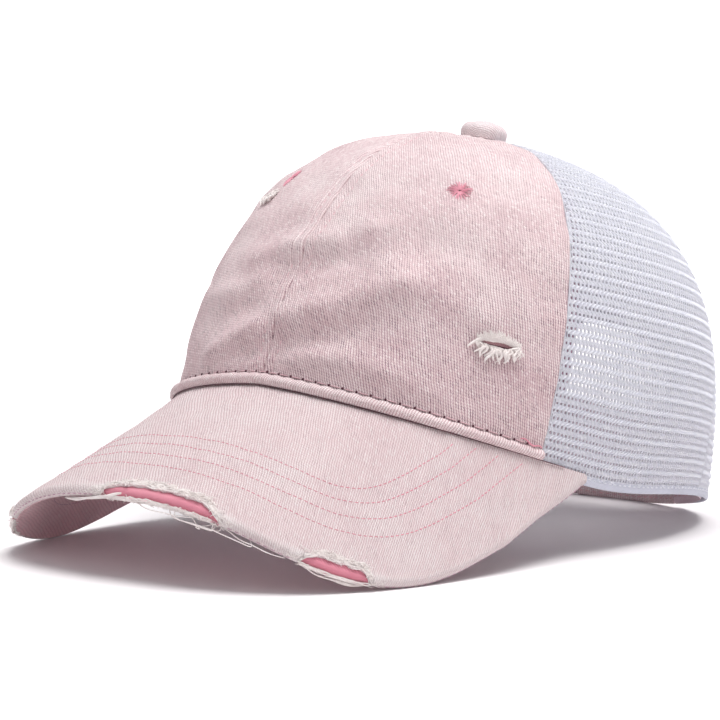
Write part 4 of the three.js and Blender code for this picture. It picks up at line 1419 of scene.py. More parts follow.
@dataclass
class MeshPanels:
    """The knitted net at the sides and the back, with its hem and the binding of the opening."""

    crown: CrownForm
    finishes: Finishes
    column_pitch: float = 1.55
    row_pitch: float = 2.6
    hole_wide: float = 0.56
    hole_tall: float = 0.64
    wall: float = 0.6
    hem_height: float = 3.2
    hem_proud: float = 0.35
    top_radius: float = 3.5
    opening: Opening = Opening()

    def build(self) -> None:
        """Builds the net panels, the hems and the binding."""
        crown = self.crown
        for side in Side:
            sign = side.value
            self.build_net("side", side, sign * crown.front_seam, sign * crown.rear_seam)
            self.build_net("back", side, sign * crown.rear_seam, sign * 180.0)
            self.build_hem(side)
        self.build_binding()

    def half_turn(self, grown: float) -> float:
        """Half the opening's turn in degrees, grown by a length on the cloth."""
        half = self.opening.half_angle
        return half + float(self.crown.turn_for(grown, 180 - half, self.opening.spring))

    def arch_share(self, angle: Array, grown: float) -> Array:
        """The opening's top at an angle, grown by a length on the cloth, or 0 beside it."""
        crown = self.crown
        spring = self.opening.spring
        half = self.half_turn(grown)
        top = crown.climb(180.0, crown.length(180, self.opening.top) + grown)
        away = (180 - np.abs((np.asarray(angle) + 180) % 360 - 180)) / half
        return np.where(away < 1, spring + (top - spring) * np.sqrt(np.clip(1 - away**2, 0, 1)), 0.0)

    def build_net(self, place: str, side: Side, start: float, end: float) -> None:
        """One net panel: a sheet with a hole in each cell and slanted yarns between the rows.

        Args:
            place: side or back.
            side: the wearer's left or right.
            start: the seam that it begins at, in degrees.
            end: the seam that it ends at.
        """
        crown = self.crown
        name = f"{place}_net_{side.word}"
        panel = PanelMap(crown, min(start, end), max(start, end))
        bottom = self.hem_height - 0.4
        top_share = crown.near_apex(panel.middle, self.top_radius)
        top = float(np.interp(top_share, panel.share_steps, panel.heights))
        rows = int(round((top - bottom) / self.row_pitch))
        pitch_up = (top - bottom) / rows
        half = self.column_pitch / 2
        most = int(math.ceil(panel.half_widths.max() / half)) + 3
        index = np.arange(-most, most + 1)
        edges = bottom + np.arange(rows + 1) * pitch_up
        middles = edges[:-1] + pitch_up / 2
        points: list[Array] = []
        border_id = np.arange((rows + 1) * len(index)).reshape(rows + 1, len(index))
        border = np.stack(np.broadcast_arrays(index[None, :] * half, edges[:, None]), axis=-1)
        points.append(border.reshape(-1, 2))
        rng = np.random.default_rng(name_seed(name))
        faces: list[Array] = []
        ridges: list[Array] = []
        count = border_id.size
        turns = np.radians([-145, -90, -35, 35, 90, 145])
        for row in range(rows):
            width = panel.half_width(middles[row])
            centre = np.arange(2 + row % 2, len(index) - 2, 2)
            across = index[centre] * half
            keep = np.abs(across) < width - 0.2 * self.column_pitch
            angle = panel.angle(across, np.full(across.shape, middles[row]))
            keep &= panel.share(middles[row]) > self.arch_share(angle, self.opening.binding - 1.5)
            centre = centre[keep]
            across = across[keep]
            if len(centre) == 0:
                continue
            wide = self.hole_wide * rng.uniform(0.85, 1.1, (len(centre), 1))
            tall = self.hole_tall * rng.uniform(0.85, 1.1, (len(centre), 1))
            squeeze = np.clip((width - np.abs(across)) / self.column_pitch + 0.3, 0.4, 1.0)[:, None]
            hole_x = across[:, None] + wide * squeeze * np.cos(turns)
            hole = np.stack([hole_x, middles[row] + tall * np.sin(turns)], axis=-1)
            points.append(hole.reshape(-1, 2))
            inner = count + np.arange(hole[..., 0].size).reshape(hole.shape[:2])
            count += inner.size
            below = [border_id[row, centre + step] for step in (-1, 0, 1)]
            above = [border_id[row + 1, centre + step] for step in (1, 0, -1)]
            outer = np.stack(below + above, axis=-1)
            ring = np.stack([outer, np.roll(outer, -1, axis=1), np.roll(inner, -1, axis=1), inner], axis=-1)
            faces.append(ring.reshape(-1, 4))
            slant = 1 if row % 2 else -1
            ridges.append(np.stack(np.broadcast_arrays(across, edges[row + 1], slant), axis=-1))
        flat = np.concatenate(points)
        limit = panel.half_width(flat[:, 1]) - 0.1
        flat[:, 0] = np.clip(flat[:, 0], -limit, limit)
        near_border = np.abs(((flat[:, 1] - bottom) / pitch_up + 0.5) % 1 - 0.5)
        proud = 0.12 - 0.22 * smooth_step(0.2, 0.5, near_border)
        angle = panel.angle(flat[:, 0], flat[:, 1])
        share = panel.share(flat[:, 1])
        outer = crown.raised(angle, share, proud)
        inner = crown.raised(angle, share, -self.wall)
        piece = Piece(name)
        # The sheet between the yarns takes 0.45 of the knit's shade colour: painted shade.
        piece.wall(outer, inner, np.concatenate(faces), flat, 0.45)
        self.add_ridges(piece, panel, np.concatenate(ridges))
        self.add_seam_edges(piece, panel, bottom, top)
        made = piece.build(Slot.MESH, self.finishes.knit, (f"{place}_mesh_{side.word}",))
        wide = 2 * float(panel.half_widths.max()) * MM

    def add_ridges(self, piece: Piece, panel: PanelMap, ridges: Array) -> None:
        """The slanted yarns that cross each band between two rows of holes."""
        steep = ridges[:, 2]
        keep = np.abs(ridges[:, 0]) < panel.half_width(ridges[:, 1]) - 0.9
        angle = panel.angle(ridges[:, 0], ridges[:, 1])
        keep &= panel.share(ridges[:, 1]) > self.arch_share(angle, self.opening.binding)
        ridges, steep = ridges[keep], steep[keep]
        bold = (steep > 0).astype(float)
        foot = [[-1, 0], [-0.45, -0.5], [0.45, -0.5], [1, 0], [0.45, 0.5], [-0.45, 0.5]]
        outline = np.array([*foot, [-0.45, 0], [0.45, 0]])
        long = 1.1 + 0.1 * bold
        thick = 0.5 + 0.14 * bold
        turn = np.radians(np.where(steep > 0, 48, 126))
        x = outline[None, :, 0] * long[:, None]
        y = outline[None, :, 1] * thick[:, None]
        across = ridges[:, :1] + x * np.cos(turn)[:, None] - y * np.sin(turn)[:, None]
        up = ridges[:, 1:2] + x * np.sin(turn)[:, None] + y * np.cos(turn)[:, None]
        height = np.full(across.shape, 0.02)
        height[:, 6:] = (0.46 + 0.16 * bold)[:, None]
        height[:, [0, 3]] -= 0.12
        points = crownwise(self.crown, panel, across, up, height)
        first = np.arange(len(ridges))[:, None] * 8
        four = np.array([[1, 2, 7, 6], [4, 5, 6, 7]])
        three = np.array([[0, 1, 6], [2, 3, 7], [3, 4, 7], [5, 0, 6]])
        quads = (first[:, :, None] + four[None]).reshape(-1, 4)
        triangles = (first[:, :, None] + three[None]).reshape(-1, 3)
        backs = first + np.arange(5, -1, -1)
        # Painted shade: the yarns' feet take a little of the knit's shade colour, their tops none.
        wear = np.where(np.arange(8) >= 6, 0.0, 0.2) * np.ones(across.shape)
        flat = np.stack([across, up], axis=-1).reshape(-1, 2)
        piece.add(points, [quads, triangles, backs], flat, wear.ravel())

    def add_seam_edges(self, piece: Piece, panel: PanelMap, bottom: float, top: float) -> None:
        """The narrow folded edge that closes the net along each seam."""
        up = np.linspace(bottom, top, 150)[:, None]
        for sign in (-1, 1):
            share = even_ends(4, 0.5)[None, :]
            across = sign * (panel.half_width(up) - 0.05 - 0.5 * share)
            across, up_all = np.broadcast_arrays(across, up)
            angle = panel.angle(across, up_all)
            keep = panel.share(up_all[:, 0]) > self.arch_share(angle[:, 2], self.opening.binding - 1.0)
            low, high = rounded_wall(np.broadcast_to(share, across.shape), -self.wall - 0.05, 0.15, 0.3)
            high = high + 0.08 * ripples(across * 3, up_all, 2.2, 29)
            outer = crownwise(self.crown, panel, across, up_all, high)
            inner = crownwise(self.crown, panel, across, up_all, low)
            cells = np.repeat((keep[:-1] & keep[1:])[:, None], 3, axis=1)
            # The folded edge takes a little of the knit's painted shade.
            piece.shell(outer, inner, np.stack([up_all, across], axis=-1), 0.1, cells)

    def build_hem(self, side: Side) -> None:
        """The folded hem under the net, with its row of stitches."""
        crown = self.crown
        half = self.half_turn(self.opening.binding)
        ends = side.value * np.array([crown.front_seam + 0.15, 180 - half])
        angle = np.linspace(ends[0], ends[1], 190)[None, :]
        share_up = even_ends(9, 0.5)[:, None]
        length = share_up * (self.hem_height + 0.3)
        angles, lengths = np.broadcast_arrays(angle, length)
        share = crown.climb(angles, lengths)
        along = np.broadcast_to(run_along(crown.point(angle[0], 0.05)), angles.shape)
        low, high = rounded_wall(np.broadcast_to(share_up, angles.shape), -1.1, self.hem_proud, 0.28)
        high = high + 0.07 * ripples(along, lengths, 4, 17)
        dip = 0.3 * np.exp(-(((lengths - 2.5) / 0.4) ** 2))
        outer = crown.raised(angles, share, high - dip)
        inner = crown.raised(angles, share, low)
        piece = Piece(f"net_hem_{side.word}")
        piece.shell(outer, inner, np.stack([along, lengths], axis=-1))
        piece.build(Slot.MESH, self.finishes.hem, (f"mesh_hem_{side.word}",))
        share = crown.climb(angle[0], 2.5)
        sewn = Piece(f"hem_stitches_{side.word}")
        sewn.sew(crown, angle[0], share, self.hem_proud - 0.25, HEM_STITCH)
        sewn.build(Slot.MESH, self.finishes.knit)

    def binding_line(self, grown: float, steps: int) -> tuple[Array, Array]:
        """Angles and shares along the opening's outline, up one leg, over and down the other."""
        crown = self.crown
        half = self.half_turn(grown)
        top = float(crown.climb(180.0, crown.length(180, self.opening.top) + grown))
        leg = steps // 4
        climb = np.linspace(0, self.opening.spring, leg, endpoint=False)
        turn = np.linspace(0, math.pi, steps - 2 * leg)
        angle = np.concatenate([np.full(leg, -half), -half * np.cos(turn), np.full(leg, half)])
        arch = self.opening.spring + (top - self.opening.spring) * np.sin(turn)
        return 180 + angle, np.concatenate([climb, arch, climb[::-1]])

    def build_binding(self) -> None:
        """The folded binding of the ponytail opening, with its stitches."""
        crown = self.crown
        steps = 150
        inner_angle, inner_share = self.binding_line(0.15, steps)
        outer_angle, outer_share = self.binding_line(self.opening.binding, steps)
        across = even_ends(11, 0.5)[:, None]
        angle = inner_angle * (1 - across) + outer_angle * across
        share = inner_share * (1 - across) + outer_share * across
        low, high = rounded_wall(np.broadcast_to(across, angle.shape), -1.15, self.hem_proud, 0.2)
        middle = len(across) // 2
        along = np.broadcast_to(run_along(crown.point(angle[middle], share[middle])), angle.shape)
        high = high + 0.06 * ripples(along, across * 6, 5, 23)
        cloth = np.stack([along, np.broadcast_to(across * 6, angle.shape)], axis=-1)
        piece = Piece("opening_binding")
        piece.shell(crown.raised(angle, share, high), crown.raised(angle, share, low), cloth)
        piece.build(Slot.TAPE, self.finishes.tape, ("arch_binding",))
        sewn = Piece("binding_stitches")
        for at in (0.24, 0.8):
            angle = inner_angle * (1 - at) + outer_angle * at
            share = inner_share * (1 - at) + outer_share * at
            sewn.sew(crown, angle, share, self.hem_proud, BINDING_STITCH)
        sewn.build(Slot.TAPE, self.finishes.knit)


def name_seed(name: str) -> int:
    """A small number from a piece's name, the same in every run."""
    return sum((place + 1) * ord(letter) for place, letter in enumerate(name))


def crownwise(crown: CrownForm, panel: PanelMap, across: Array, up: Array, height: Array) -> Array:
    """Points over the crown at places on a panel's flat cut."""
    angle = panel.angle(across, up)
    return crown.raised(angle, panel.share(up), height)


@dataclass
class Inside:
    """What lies inside the crown: the sweatband, the seam tapes and the straps at the back."""

    crown: CrownForm
    finishes: Finishes
    band_height: float = 28.0
    band_steps: int = 190
    band_wall: float = 1.5
    tape_width: float = 10.0
    tape_top: float = 10.0
    tape_turn: float = 26.0
    strap_height: float = 22.0
    strap_overlap: float = 9.0
    strap_wall: float = 1.5
    clearance: float = 1.5
    band_radius: float = 88.0
    strap_radius: float = 100.0
    opening: Opening = Opening()

    def build(self) -> None:
        """Builds the band, the tapes and the straps."""
        self.build_band()
        seams = {"front_tape": 0.0, "back_tape": 180.0}
        for side in Side:
            seams[f"side_tape_{side.word}"] = side.value * self.crown.front_seam
            seams[f"rear_tape_{side.word}"] = side.value * self.crown.rear_seam
            self.build_strap(side)
        for node, seam in seams.items():
            self.build_tape(node, seam)

    def build_band(self) -> None:
        """The sweatband, turned over at its top edge."""
        crown = self.crown
        end = 180 - self.opening.half_angle - 0.2
        angle = np.linspace(-end, end, self.band_steps)[None, :]
        up = even_ends(13, 0.45)[:, None]
        angles, ups = np.broadcast_arrays(angle, up)
        lengths = ups * self.band_height
        share = crown.climb(angles, lengths)
        low, high = rounded_wall(ups, -self.clearance - self.band_wall, -self.clearance, 0.05)
        run = np.radians(angles) * self.band_radius
        low = low - 0.25 * np.abs(ripples(run, lengths, 16, 31)) * np.sin(ups * math.pi)
        outer = crown.raised(angles, share, high)
        inner = crown.raised(angles, share, low)
        piece = Piece("sweatband_cloth")
        piece.shell(outer, inner, np.stack([run, lengths], axis=-1))
        piece.build(Slot.BAND, self.finishes.band, ("sweatband",))
        sewn = Piece("band_stitches")
        for length in (3.0, self.band_height - 3.0):
            share = crown.climb(angle[0], length)
            inside = -self.clearance - self.band_wall - 0.1
            sewn.sew(crown, angle[0], share, inside, BAND_STITCH, -1)
        sewn.build(Slot.BAND, self.finishes.soft_rose)

    def build_tape(self, node: str, seam: float) -> None:
        """A tape over a seam inside, with a row of stitches near each edge."""
        crown = self.crown
        at_front = abs(seam) < 90
        backing = 1.2 if at_front else 1.0
        if seam == 180.0:
            grown = self.opening.binding + 0.6
            low = float(crown.climb(180.0, crown.length(180, self.opening.top) + grown))
        else:
            low = float(crown.climb(seam, self.band_height + 0.6))
        high = float(crown.near_apex(np.array(seam), self.tape_top))
        share = np.linspace(low, high, 70)[:, None]
        across = even_ends(9, 0.4)[None, :]
        half = np.minimum(crown.turn_for(self.tape_width / 2, seam, share), self.tape_turn)
        angle = seam + half * (2 * across - 1)
        shares = np.broadcast_to(share, angle.shape)
        offset = crown.relief(angle, shares) * at_front - backing - 0.3
        thin, thick = rounded_wall(np.broadcast_to(across, angle.shape), -1.0, 0.0, 0.12)
        run = np.linspace(0, crown.length(seam, high) - crown.length(seam, low), 70)[:, None]
        cloth = np.stack(np.broadcast_arrays(run, (across - 0.5) * self.tape_width), axis=-1)
        piece = Piece(f"{node}_cloth")
        outer = crown.raised(angle, shares, offset + thick)
        piece.shell(outer, crown.raised(angle, shares, offset + thin), cloth)
        rosy = abs(abs(seam) - crown.front_seam) < 1
        piece.build(Slot.TAPE, self.finishes.seam if rosy else self.finishes.tape, (node,))
        sewn = Piece(f"{node}_stitches")
        for column in (2, 6):
            line = (angle[:, column], shares[:, column], (offset - 1.0)[:, column])
            sewn.sew(crown, *line, TAPE_STITCH, -1)
        sewn.build(Slot.TAPE, self.finishes.knit)

    def build_strap(self, side: Side) -> None:
        """A strap below the opening. The left one passes inside the right one."""
        crown = self.crown
        facing = -side.value
        free_end = 180 - facing * self.strap_overlap
        reach = sorted([free_end, 180 + facing * (self.opening.half_angle - 0.2)])
        outside = {Side.LEFT: -self.clearance, Side.RIGHT: 0.3}[side]
        angle = np.linspace(*reach, 90)[None, :]
        up = even_ends(21, 0.5)[:, None]
        angles, ups = np.broadcast_arrays(angle, up)
        share = crown.climb(angles, ups * self.strap_height)
        low, high = rounded_wall(ups, outside - self.strap_wall, outside, 0.06)
        run = np.radians(angles - 180) * self.strap_radius
        high = high + 0.05 * ripples(run, ups * 20, 9, 37)
        cloth = np.stack([run, ups * self.strap_height], axis=-1)
        piece = Piece(f"strap_cloth_{side.word}")
        piece.shell(crown.raised(angles, share, high), crown.raised(angles, share, low), cloth)
        piece.build(Slot.TWILL, self.finishes.button_twill, (f"strap_{side.word}",))
        sewn = Piece(f"strap_stitches_{side.word}")
        face = outside if side is Side.RIGHT else outside - self.strap_wall
        for length in (2.2, self.strap_height - 2.2):
            share = crown.climb(angle[0], length)
            sewn.sew(crown, angle[0], share, face, STRAP_STITCH, facing)
        lengths = np.linspace(2.6, self.strap_height - 2.6, 30)
        for inward in (1.5, 4.5):
            at = np.full(30, free_end + facing * inward)
            sewn.sew(crown, at, crown.climb(at, lengths), face, STRAP_STITCH, facing)
        sewn.build(Slot.THREAD, self.finishes.soft_rose)


@dataclass
class TopButton:
    """The covered button on the apex, with its cloth gathered down its side."""

    crown: CrownForm
    finishes: Finishes
    radius: float = 8.2
    height: float = 7.0
    skirt: float = 0.94
    wall: float = 0.4
    shoulder: float = 0.42
    rib_turn: float = 41.0

    def build(self) -> None:
        """Builds the button."""
        around, low_rings, bend_rings, top_rings = 96, 8, 14, 9
        turn = np.linspace(0, math.tau, around, endpoint=False)[None, :]
        low = np.linspace(0, self.wall, low_rings, endpoint=False)
        curve = np.linspace(0, math.pi / 2, bend_rings, endpoint=False)
        flat = np.linspace(1 - self.shoulder, 0.02, top_rings)
        side = self.skirt + (1 - self.skirt) * np.sin(low / self.wall * math.pi / 2)
        radius = np.concatenate([side, 1 - self.shoulder * (1 - np.cos(curve)), flat])
        crest = 0.86 + 0.14 * (1 - (flat / (1 - self.shoulder)) ** 2)
        up = np.concatenate([low, self.wall + (0.86 - self.wall) * np.sin(curve), crest])
        skin = run_along(np.stack([radius * self.radius, up * self.height], axis=-1))
        radius, up, skin = radius[:, None], up[:, None], skin[-1] - skin[:, None]
        pleat = 0.02 * np.sin(turn * 11 + np.sin(turn * 3) * 2) * np.clip(1 - up * 1.1, 0, 1)
        lump = 0.04 * np.sin(turn * 2 + 1.1) * up
        x = self.radius * (radius + pleat) * np.cos(turn)
        y = self.radius * (radius + pleat) * np.sin(turn)
        z = self.height * (up + lump) + 0 * turn
        points = np.stack([x, y - self.crown.apex_forward, z + self.crown.height + 0.8], axis=-1)
        facing = turn - math.radians(self.rib_turn)
        bent = 0.9 * np.sin(turn * 2 + 0.6) * (skin / skin.max()) ** 2
        cloth = np.stack([skin * np.sin(facing) + bent, skin * np.cos(facing)], axis=-1)
        piece = Piece("button_cloth")
        corner = np.arange(len(radius) * around).reshape(-1, around)
        after = np.roll(corner, -1, axis=1)
        walls = np.stack([corner[:-1], after[:-1], after[1:], corner[1:]], axis=-1).reshape(-1, 4)
        piece.add(points, [walls, corner[:1, ::-1], corner[-1:]], cloth.reshape(-1, 2), 0.1)
        piece.build(Slot.TWILL, self.finishes.button_twill, ("top_button",))


# Brim


@dataclass(frozen=True)
class Tear:
    """A torn place on the brim's edge: its span as shares of the half edge, and its depth."""

    start: float
    end: float
    depth: float


@dataclass(frozen=True)
class LooseThread:
    """A loose thread at the edge: its span, how far it hangs, its turn round the lip, its strands."""

    start: float
    end: float
    drop: float
    turn: float = 130.0
    twist: float = 0.0
    strands: int = 1
    width: float = 0.5
    first_turn: float | None = None


@dataclass
class BrimForm:
    """The bent brim: straight lines from the crown to the edge, with a depth under them."""

    crown: CrownForm
    length: float = 57.5
    overhang: float = 4.0
    shoulder: float = 62.0
    curve: float = 2.77
    tip_drop: float = 47.0
    slope: float = 0.53
    arch: float = 45.8
    arch_power: float = 2.68
    round_share: float = 0.91
    level_share: float = 0.73
    heel: float = 2.5
    ease: float = 20.0
    hem_proud: float = 0.9
    tears: tuple[Tear, ...] = (Tear(-0.04, 0.215, 4.9), Tear(0.35, 0.475, 4.6), Tear(-0.43, -0.32, 3.5))
    samples: int = 401

    def __post_init__(self) -> None:
        """Lays out the root and the edge once."""
        crown = self.crown
        self.sides = np.linspace(-1, 1, self.samples)
        angles = self.sides * (crown.corner_angle - self.heel)
        self.roots = self.root_at(angles)
        self.edges = self.edge_line()

    def root_at(self, angle: Array) -> Array:
        """Where the brim meets the crown."""
        seat = self.crown.point(angle, self.crown.climb(angle, self.crown.rim_depth))
        level = seat * np.array([1, 1, 0])
        return seat + unit(level) * self.hem_proud

    def board(self, x: Array, y: Array) -> Array:
        """Height of the bent board that the edge follows."""
        tip = -(self.crown.half_length + self.length)
        aside = np.abs(x) / (self.crown.half_width + self.overhang)
        return -self.tip_drop + self.slope * (y - tip) - self.arch * aside**self.arch_power

    def down(self, points: Array, out: Array) -> Array:
        """The direction from the brim's top to its underside."""
        step = 0.5
        x, y = points[..., 0], points[..., 1]
        across = (self.board(x + step, y) - self.board(x - step, y)) / (2 * step)
        along = (self.board(x, y + step) - self.board(x, y - step)) / (2 * step)
        facing = unit(np.stack([across, along, -np.ones(across.shape)], axis=-1))
        eased = np.minimum(out / self.ease, 1)[..., None]
        return unit(np.array([0, 0, -1.0]) * (1 - eased) + facing * eased)

    def edge_line(self) -> Array:
        """The outer edge from corner to corner, at even steps."""
        crown = self.crown
        half_width = crown.half_width + self.overhang
        reach = crown.half_length + self.length - self.shoulder
        corner = self.root_at(np.array(crown.corner_angle))
        lift = corner[2] - self.board(corner[0], corner[1])
        share = np.abs(self.sides)
        turn = np.minimum(share / self.round_share, 1) * math.pi / 2
        straight = np.maximum(share - self.round_share, 0) / (1 - self.round_share)
        power = 2 / self.curve
        x = half_width * np.sin(turn) ** power * (1 - straight) + corner[0] * straight
        y = -self.shoulder - reach * np.abs(np.cos(turn)) ** power
        y = y * (1 - straight) + corner[1] * straight
        ease = np.maximum(share - self.level_share, 0) / (1 - self.level_share)
        line = np.stack([np.sign(self.sides) * x, y, self.board(x, y) + lift * ease**2], axis=-1)
        run = run_along(line)
        return read_along(np.linspace(0, run[-1], self.samples), run, line)

    def read(self, table: Array, side: Array) -> Array:
        """Points of the root or the edge at shares of the half edge."""
        return read_along(side, self.sides, table)

    def reach(self, side: Array) -> Array:
        """Length from the root to the edge."""
        return np.linalg.norm(self.read(self.edges, side) - self.read(self.roots, side), axis=-1)

    def place(self, side: Array, out: Array, depth: Array) -> Array:
        """A point of the brim.

        Args:
            side: share of the half edge, -1 to 1.
            out: millimetres out from the root.
            depth: millimetres under the top.

        Returns:
            Points in the cap's own frame.
        """
        side, out, depth = np.broadcast_arrays(side, out, depth)
        root = self.read(self.roots, side)
        edge = self.read(self.edges, side)
        along = unit(edge - root)
        points = root + along * out[..., None]
        return points + self.down(points, out) * depth[..., None]

    def up(self, side: Array, out: Array) -> Array:
        """The direction off the brim's top."""
        return unit(self.place(side, out, -1.0) - self.place(side, out, 0.0))

    def torn(self, side: Array) -> Array:
        """How far the upper cloth has torn back, from 0 to each tear's depth."""
        depth = np.zeros(np.shape(side))
        for tear in self.tears:
            middle = (tear.start + tear.end) / 2
            off = np.abs(side - middle) / ((tear.end - tear.start) / 2)
            depth = np.maximum(depth, tear.depth * np.clip(1 - off**5, 0, 1))
        return depth

    def row(self, distance: float) -> tuple[Array, Array]:
        """A line over the brim at an even distance from its edge, as sides and lengths out."""
        side = np.linspace(-0.985, 0.985, 181)[:, None]
        steps = 70
        out = self.reach(side) * np.linspace(0, 1, steps)[None, :]
        points = self.place(np.broadcast_to(side, out.shape), out, np.zeros(out.shape))
        gaps = np.full(out.shape, 1e9)
        for edge in self.edges[::2]:
            gaps = np.minimum(gaps, np.linalg.norm(points - edge, axis=-1))
        found = [
            (side[at, 0], np.interp(-distance, -gaps[at], out[at]))
            for at in range(len(side))
            if gaps[at, 0] > distance + 1.2
        ]
        return np.array([pair[0] for pair in found]), np.array([pair[1] for pair in found])


@dataclass
class Brim:
    """The brim's cloths, the rose roll inside them, its stitching and its frayed edges."""

    form: BrimForm
    finishes: Finishes
    cloth_wall: float = 1.0
    depth: float = 3.8
    lip_turn: float = 150.0
    half_edge: float = 210.0
    deepest_tear: float = 4.9
    columns: int = 330
    rows_from_edge: tuple[float, ...] = (17.5, 24.5, 31.0, 37.0)
    loose_threads: dict[int, tuple[LooseThread, ...]] = field(
        default_factory=lambda: {
            1: (
                LooseThread(0.01, -0.125, 0.6, turn=160, strands=9, width=0.65, first_turn=60),
                LooseThread(0.03, 0.17, 1.6, turn=120, twist=0.8),
                LooseThread(0.12, 0.21, 2.2, turn=125, twist=-1.2, strands=2),
                LooseThread(0.15, 0.2, 2.8, turn=130, twist=1.2),
                LooseThread(0.205, 0.27, 2.0, turn=110, twist=-1.4),
                LooseThread(0.22, 0.33, 0.8, turn=118, twist=0.6),
            ),
            2: (LooseThread(0.36, 0.46, 0.5, turn=125, strands=3),),
            3: (LooseThread(-0.4, -0.33, 0.8, turn=120, strands=3),),
        }
    )

    def __post_init__(self) -> None:
        """Lays out the lip, and the brim's width at each place along the edge."""
        self.lip = self.depth / 2
        self.side = np.linspace(-1, 1, self.columns)[:, None]
        self.width = self.form.reach(self.side)

    def build(self) -> None:
        """Builds every layer, from the top down, and then the threads."""
        self.build_upper()
        self.build_inlay()
        self.build_under()
        self.build_rows()
        for number, tear in enumerate(self.form.tears, start=1):
            self.build_fray(number, tear)

    def round_the_edge(self, run: Array, width: Array, inset: float) -> tuple[Array, Array]:
        """Follows the brim's skin from the root, over the edge and back underneath.

        Args:
            run: millimetres along the skin.
            width: the brim's width there.
            inset: how far inside the skin the line lies.

        Returns:
            The lengths out from the root and the depths.
        """
        flat = width - self.lip
        turn = np.maximum(run - flat, 0) / self.lip
        radius = self.lip - inset
        bent = np.minimum(turn, math.pi)
        under = np.maximum(turn - math.pi, 0) * self.lip
        out = np.minimum(run, flat) + radius * np.sin(bent) - under
        return out, inset + radius * (1 - np.cos(bent))

    def whole_run(self, side: Array, width: Array) -> Array:
        """Length of the upper cloth along the skin, where it is torn and where it isn't."""
        whole = width - self.lip + self.lip * math.radians(self.lip_turn)
        torn = self.form.torn(side)
        at = side * self.half_edge
        uneven = 0.35 * ripples(at, side * 0, 5, 51) + 0.15 * ripples(at, side * 0, 1.6, 52)
        ragged = np.clip(torn, 0, 1) * uneven
        to_top = self.lip * math.radians(self.lip_turn)
        back = torn / self.deepest_tear * (to_top + 2.4) + ragged
        return np.maximum(whole - np.maximum(back, 0), width * 0.4)

    def build_upper(self) -> None:
        """The upper cloth, turned round the edge and torn back in places."""
        side, width = self.side, self.width
        end = self.whole_run(side, width)
        near = np.cumsum([0, 0.3, 0.35, 0.4, 0.4, 0.5, 0.5, 0.6, 0.7, 0.8, 0.9, 1.0, 1.1, 1.2, 1.3, 1.4, 1.5])
        near_share = np.minimum(near[None, :] * np.minimum(1, end * 0.7 / near[-1]), end)
        rest = np.linspace(0, 1, 44)[None, :-1] * (end - near_share[:, -1:])
        run = np.concatenate([rest, (end - near_share)[:, ::-1]], axis=1)
        out, low = self.round_the_edge(run, width, 0.0)
        in_out, in_low = self.round_the_edge(run, width, self.cloth_wall)
        sides = np.broadcast_to(side, run.shape)
        puff = self.puff(sides, run, width)
        torn = self.form.torn(sides)
        curl = -0.5 * np.clip(torn, 0, 1) * np.exp(-(end - run))
        outer = self.form.place(sides, out, low + puff + curl)
        inner = self.form.place(sides, in_out, in_low + puff + curl)
        edge_wear = 0.3 * smooth_step(-2.0, 0.5, run - (width - self.lip))
        frayed = np.clip(torn / 1.5, 0, 1) * np.exp(-np.maximum(end - run, 0) / 2.2) * 1.2
        near_tear = self.near_tears(sides) * smooth_step(-2.5, 0.0, run - (width - self.lip)) * 0.8
        wear = np.clip(edge_wear + frayed + near_tear, 0, 1)
        piece = Piece("brim_upper_cloth")
        cut = self.flat_cut(sides, run)
        piece.shell(outer, inner, cut, wear)
        made = piece.build(Slot.TWILL, self.finishes.brim_twill, ("brim_upper",))

    def puff(self, side: Array, run: Array, width: Array) -> Array:
        """How far the upper cloth sinks towards the board, in soft ripples."""
        inside = np.clip(run / 10, 0, 1) * np.clip((width - run) / 6, 0, 1)
        return -0.12 * ripples(side * 200, run, 13, 61) * inside

    def flat_cut(self, side: Array, run: Array) -> Array:
        """Places on the brim's cloth before it was bent over the board.

        Args:
            side: share of the half edge.
            run: millimetres along the cloth from the root.

        Returns:
            Places across and along the cloth.
        """
        points = self.form.place(side, run, np.zeros(np.shape(run)))
        steps = np.arange(0.0, 111.0)
        heights = self.form.board(steps, np.zeros(steps.shape))
        arc = run_along(np.stack([steps, heights], axis=-1))
        across = np.sign(points[..., 0]) * np.interp(np.abs(points[..., 0]), steps, arc)
        return np.stack([across, points[..., 1] * math.hypot(1, self.form.slope)], axis=-1)

    def near_tears(self, side: Array) -> Array:
        """1 beside a tear, falling to 0 some 6 mm away."""
        near = np.zeros(np.shape(side))
        for tear in self.form.tears:
            away = np.maximum(tear.start - side, side - tear.end) * self.half_edge
            near = np.maximum(near, np.exp(-np.maximum(away, 0) / 4.0))
        return near

    def build_inlay(self) -> None:
        """The board in its rose cloth, with the round edge that shows through the tears."""
        side, width = self.side, self.width
        radius = 1.35
        centre = self.lip + 0.05
        end = np.maximum(width - 0.75, width * 0.5)
        turn = np.linspace(0, math.pi, 13)[None, :]
        flat_share = np.linspace(0, 1, 12)[None, :-1]
        flat = (end - radius) * flat_share
        arc = end - radius + radius * np.sin(turn)
        out = np.concatenate([flat, arc, flat[:, ::-1]], axis=1)
        sides = np.broadcast_to(side, out.shape)
        top = np.full(flat.shape, centre - radius)
        bend = np.broadcast_to(centre - radius * np.cos(turn), arc.shape)
        deep = np.concatenate([top, bend, np.full(flat.shape, centre + radius)], axis=1)
        at = sides * self.half_edge
        lumps = 0.12 * ripples(at, deep * 2, 9, 71) + 0.07 * ripples(at, deep, 2.2, 72)
        points = self.form.place(sides, np.maximum(out + lumps * (out > 5), 0), deep)
        rows, columns = out.shape
        cloth = np.stack(np.broadcast_arrays(sides * self.half_edge, np.arange(columns) * 0.4), axis=-1)
        piece = Piece("brim_rose_inlay")
        corner = np.arange(rows * columns).reshape(rows, columns)
        closing = np.stack([corner[:-1, -1], corner[:-1, 0], corner[1:, 0], corner[1:, -1]], axis=-1)
        piece.add(points, [grid_faces(rows, columns), closing], cloth.reshape(-1, 2))
        piece.build(Slot.SATIN, self.finishes.satin, ("brim_inlay",))

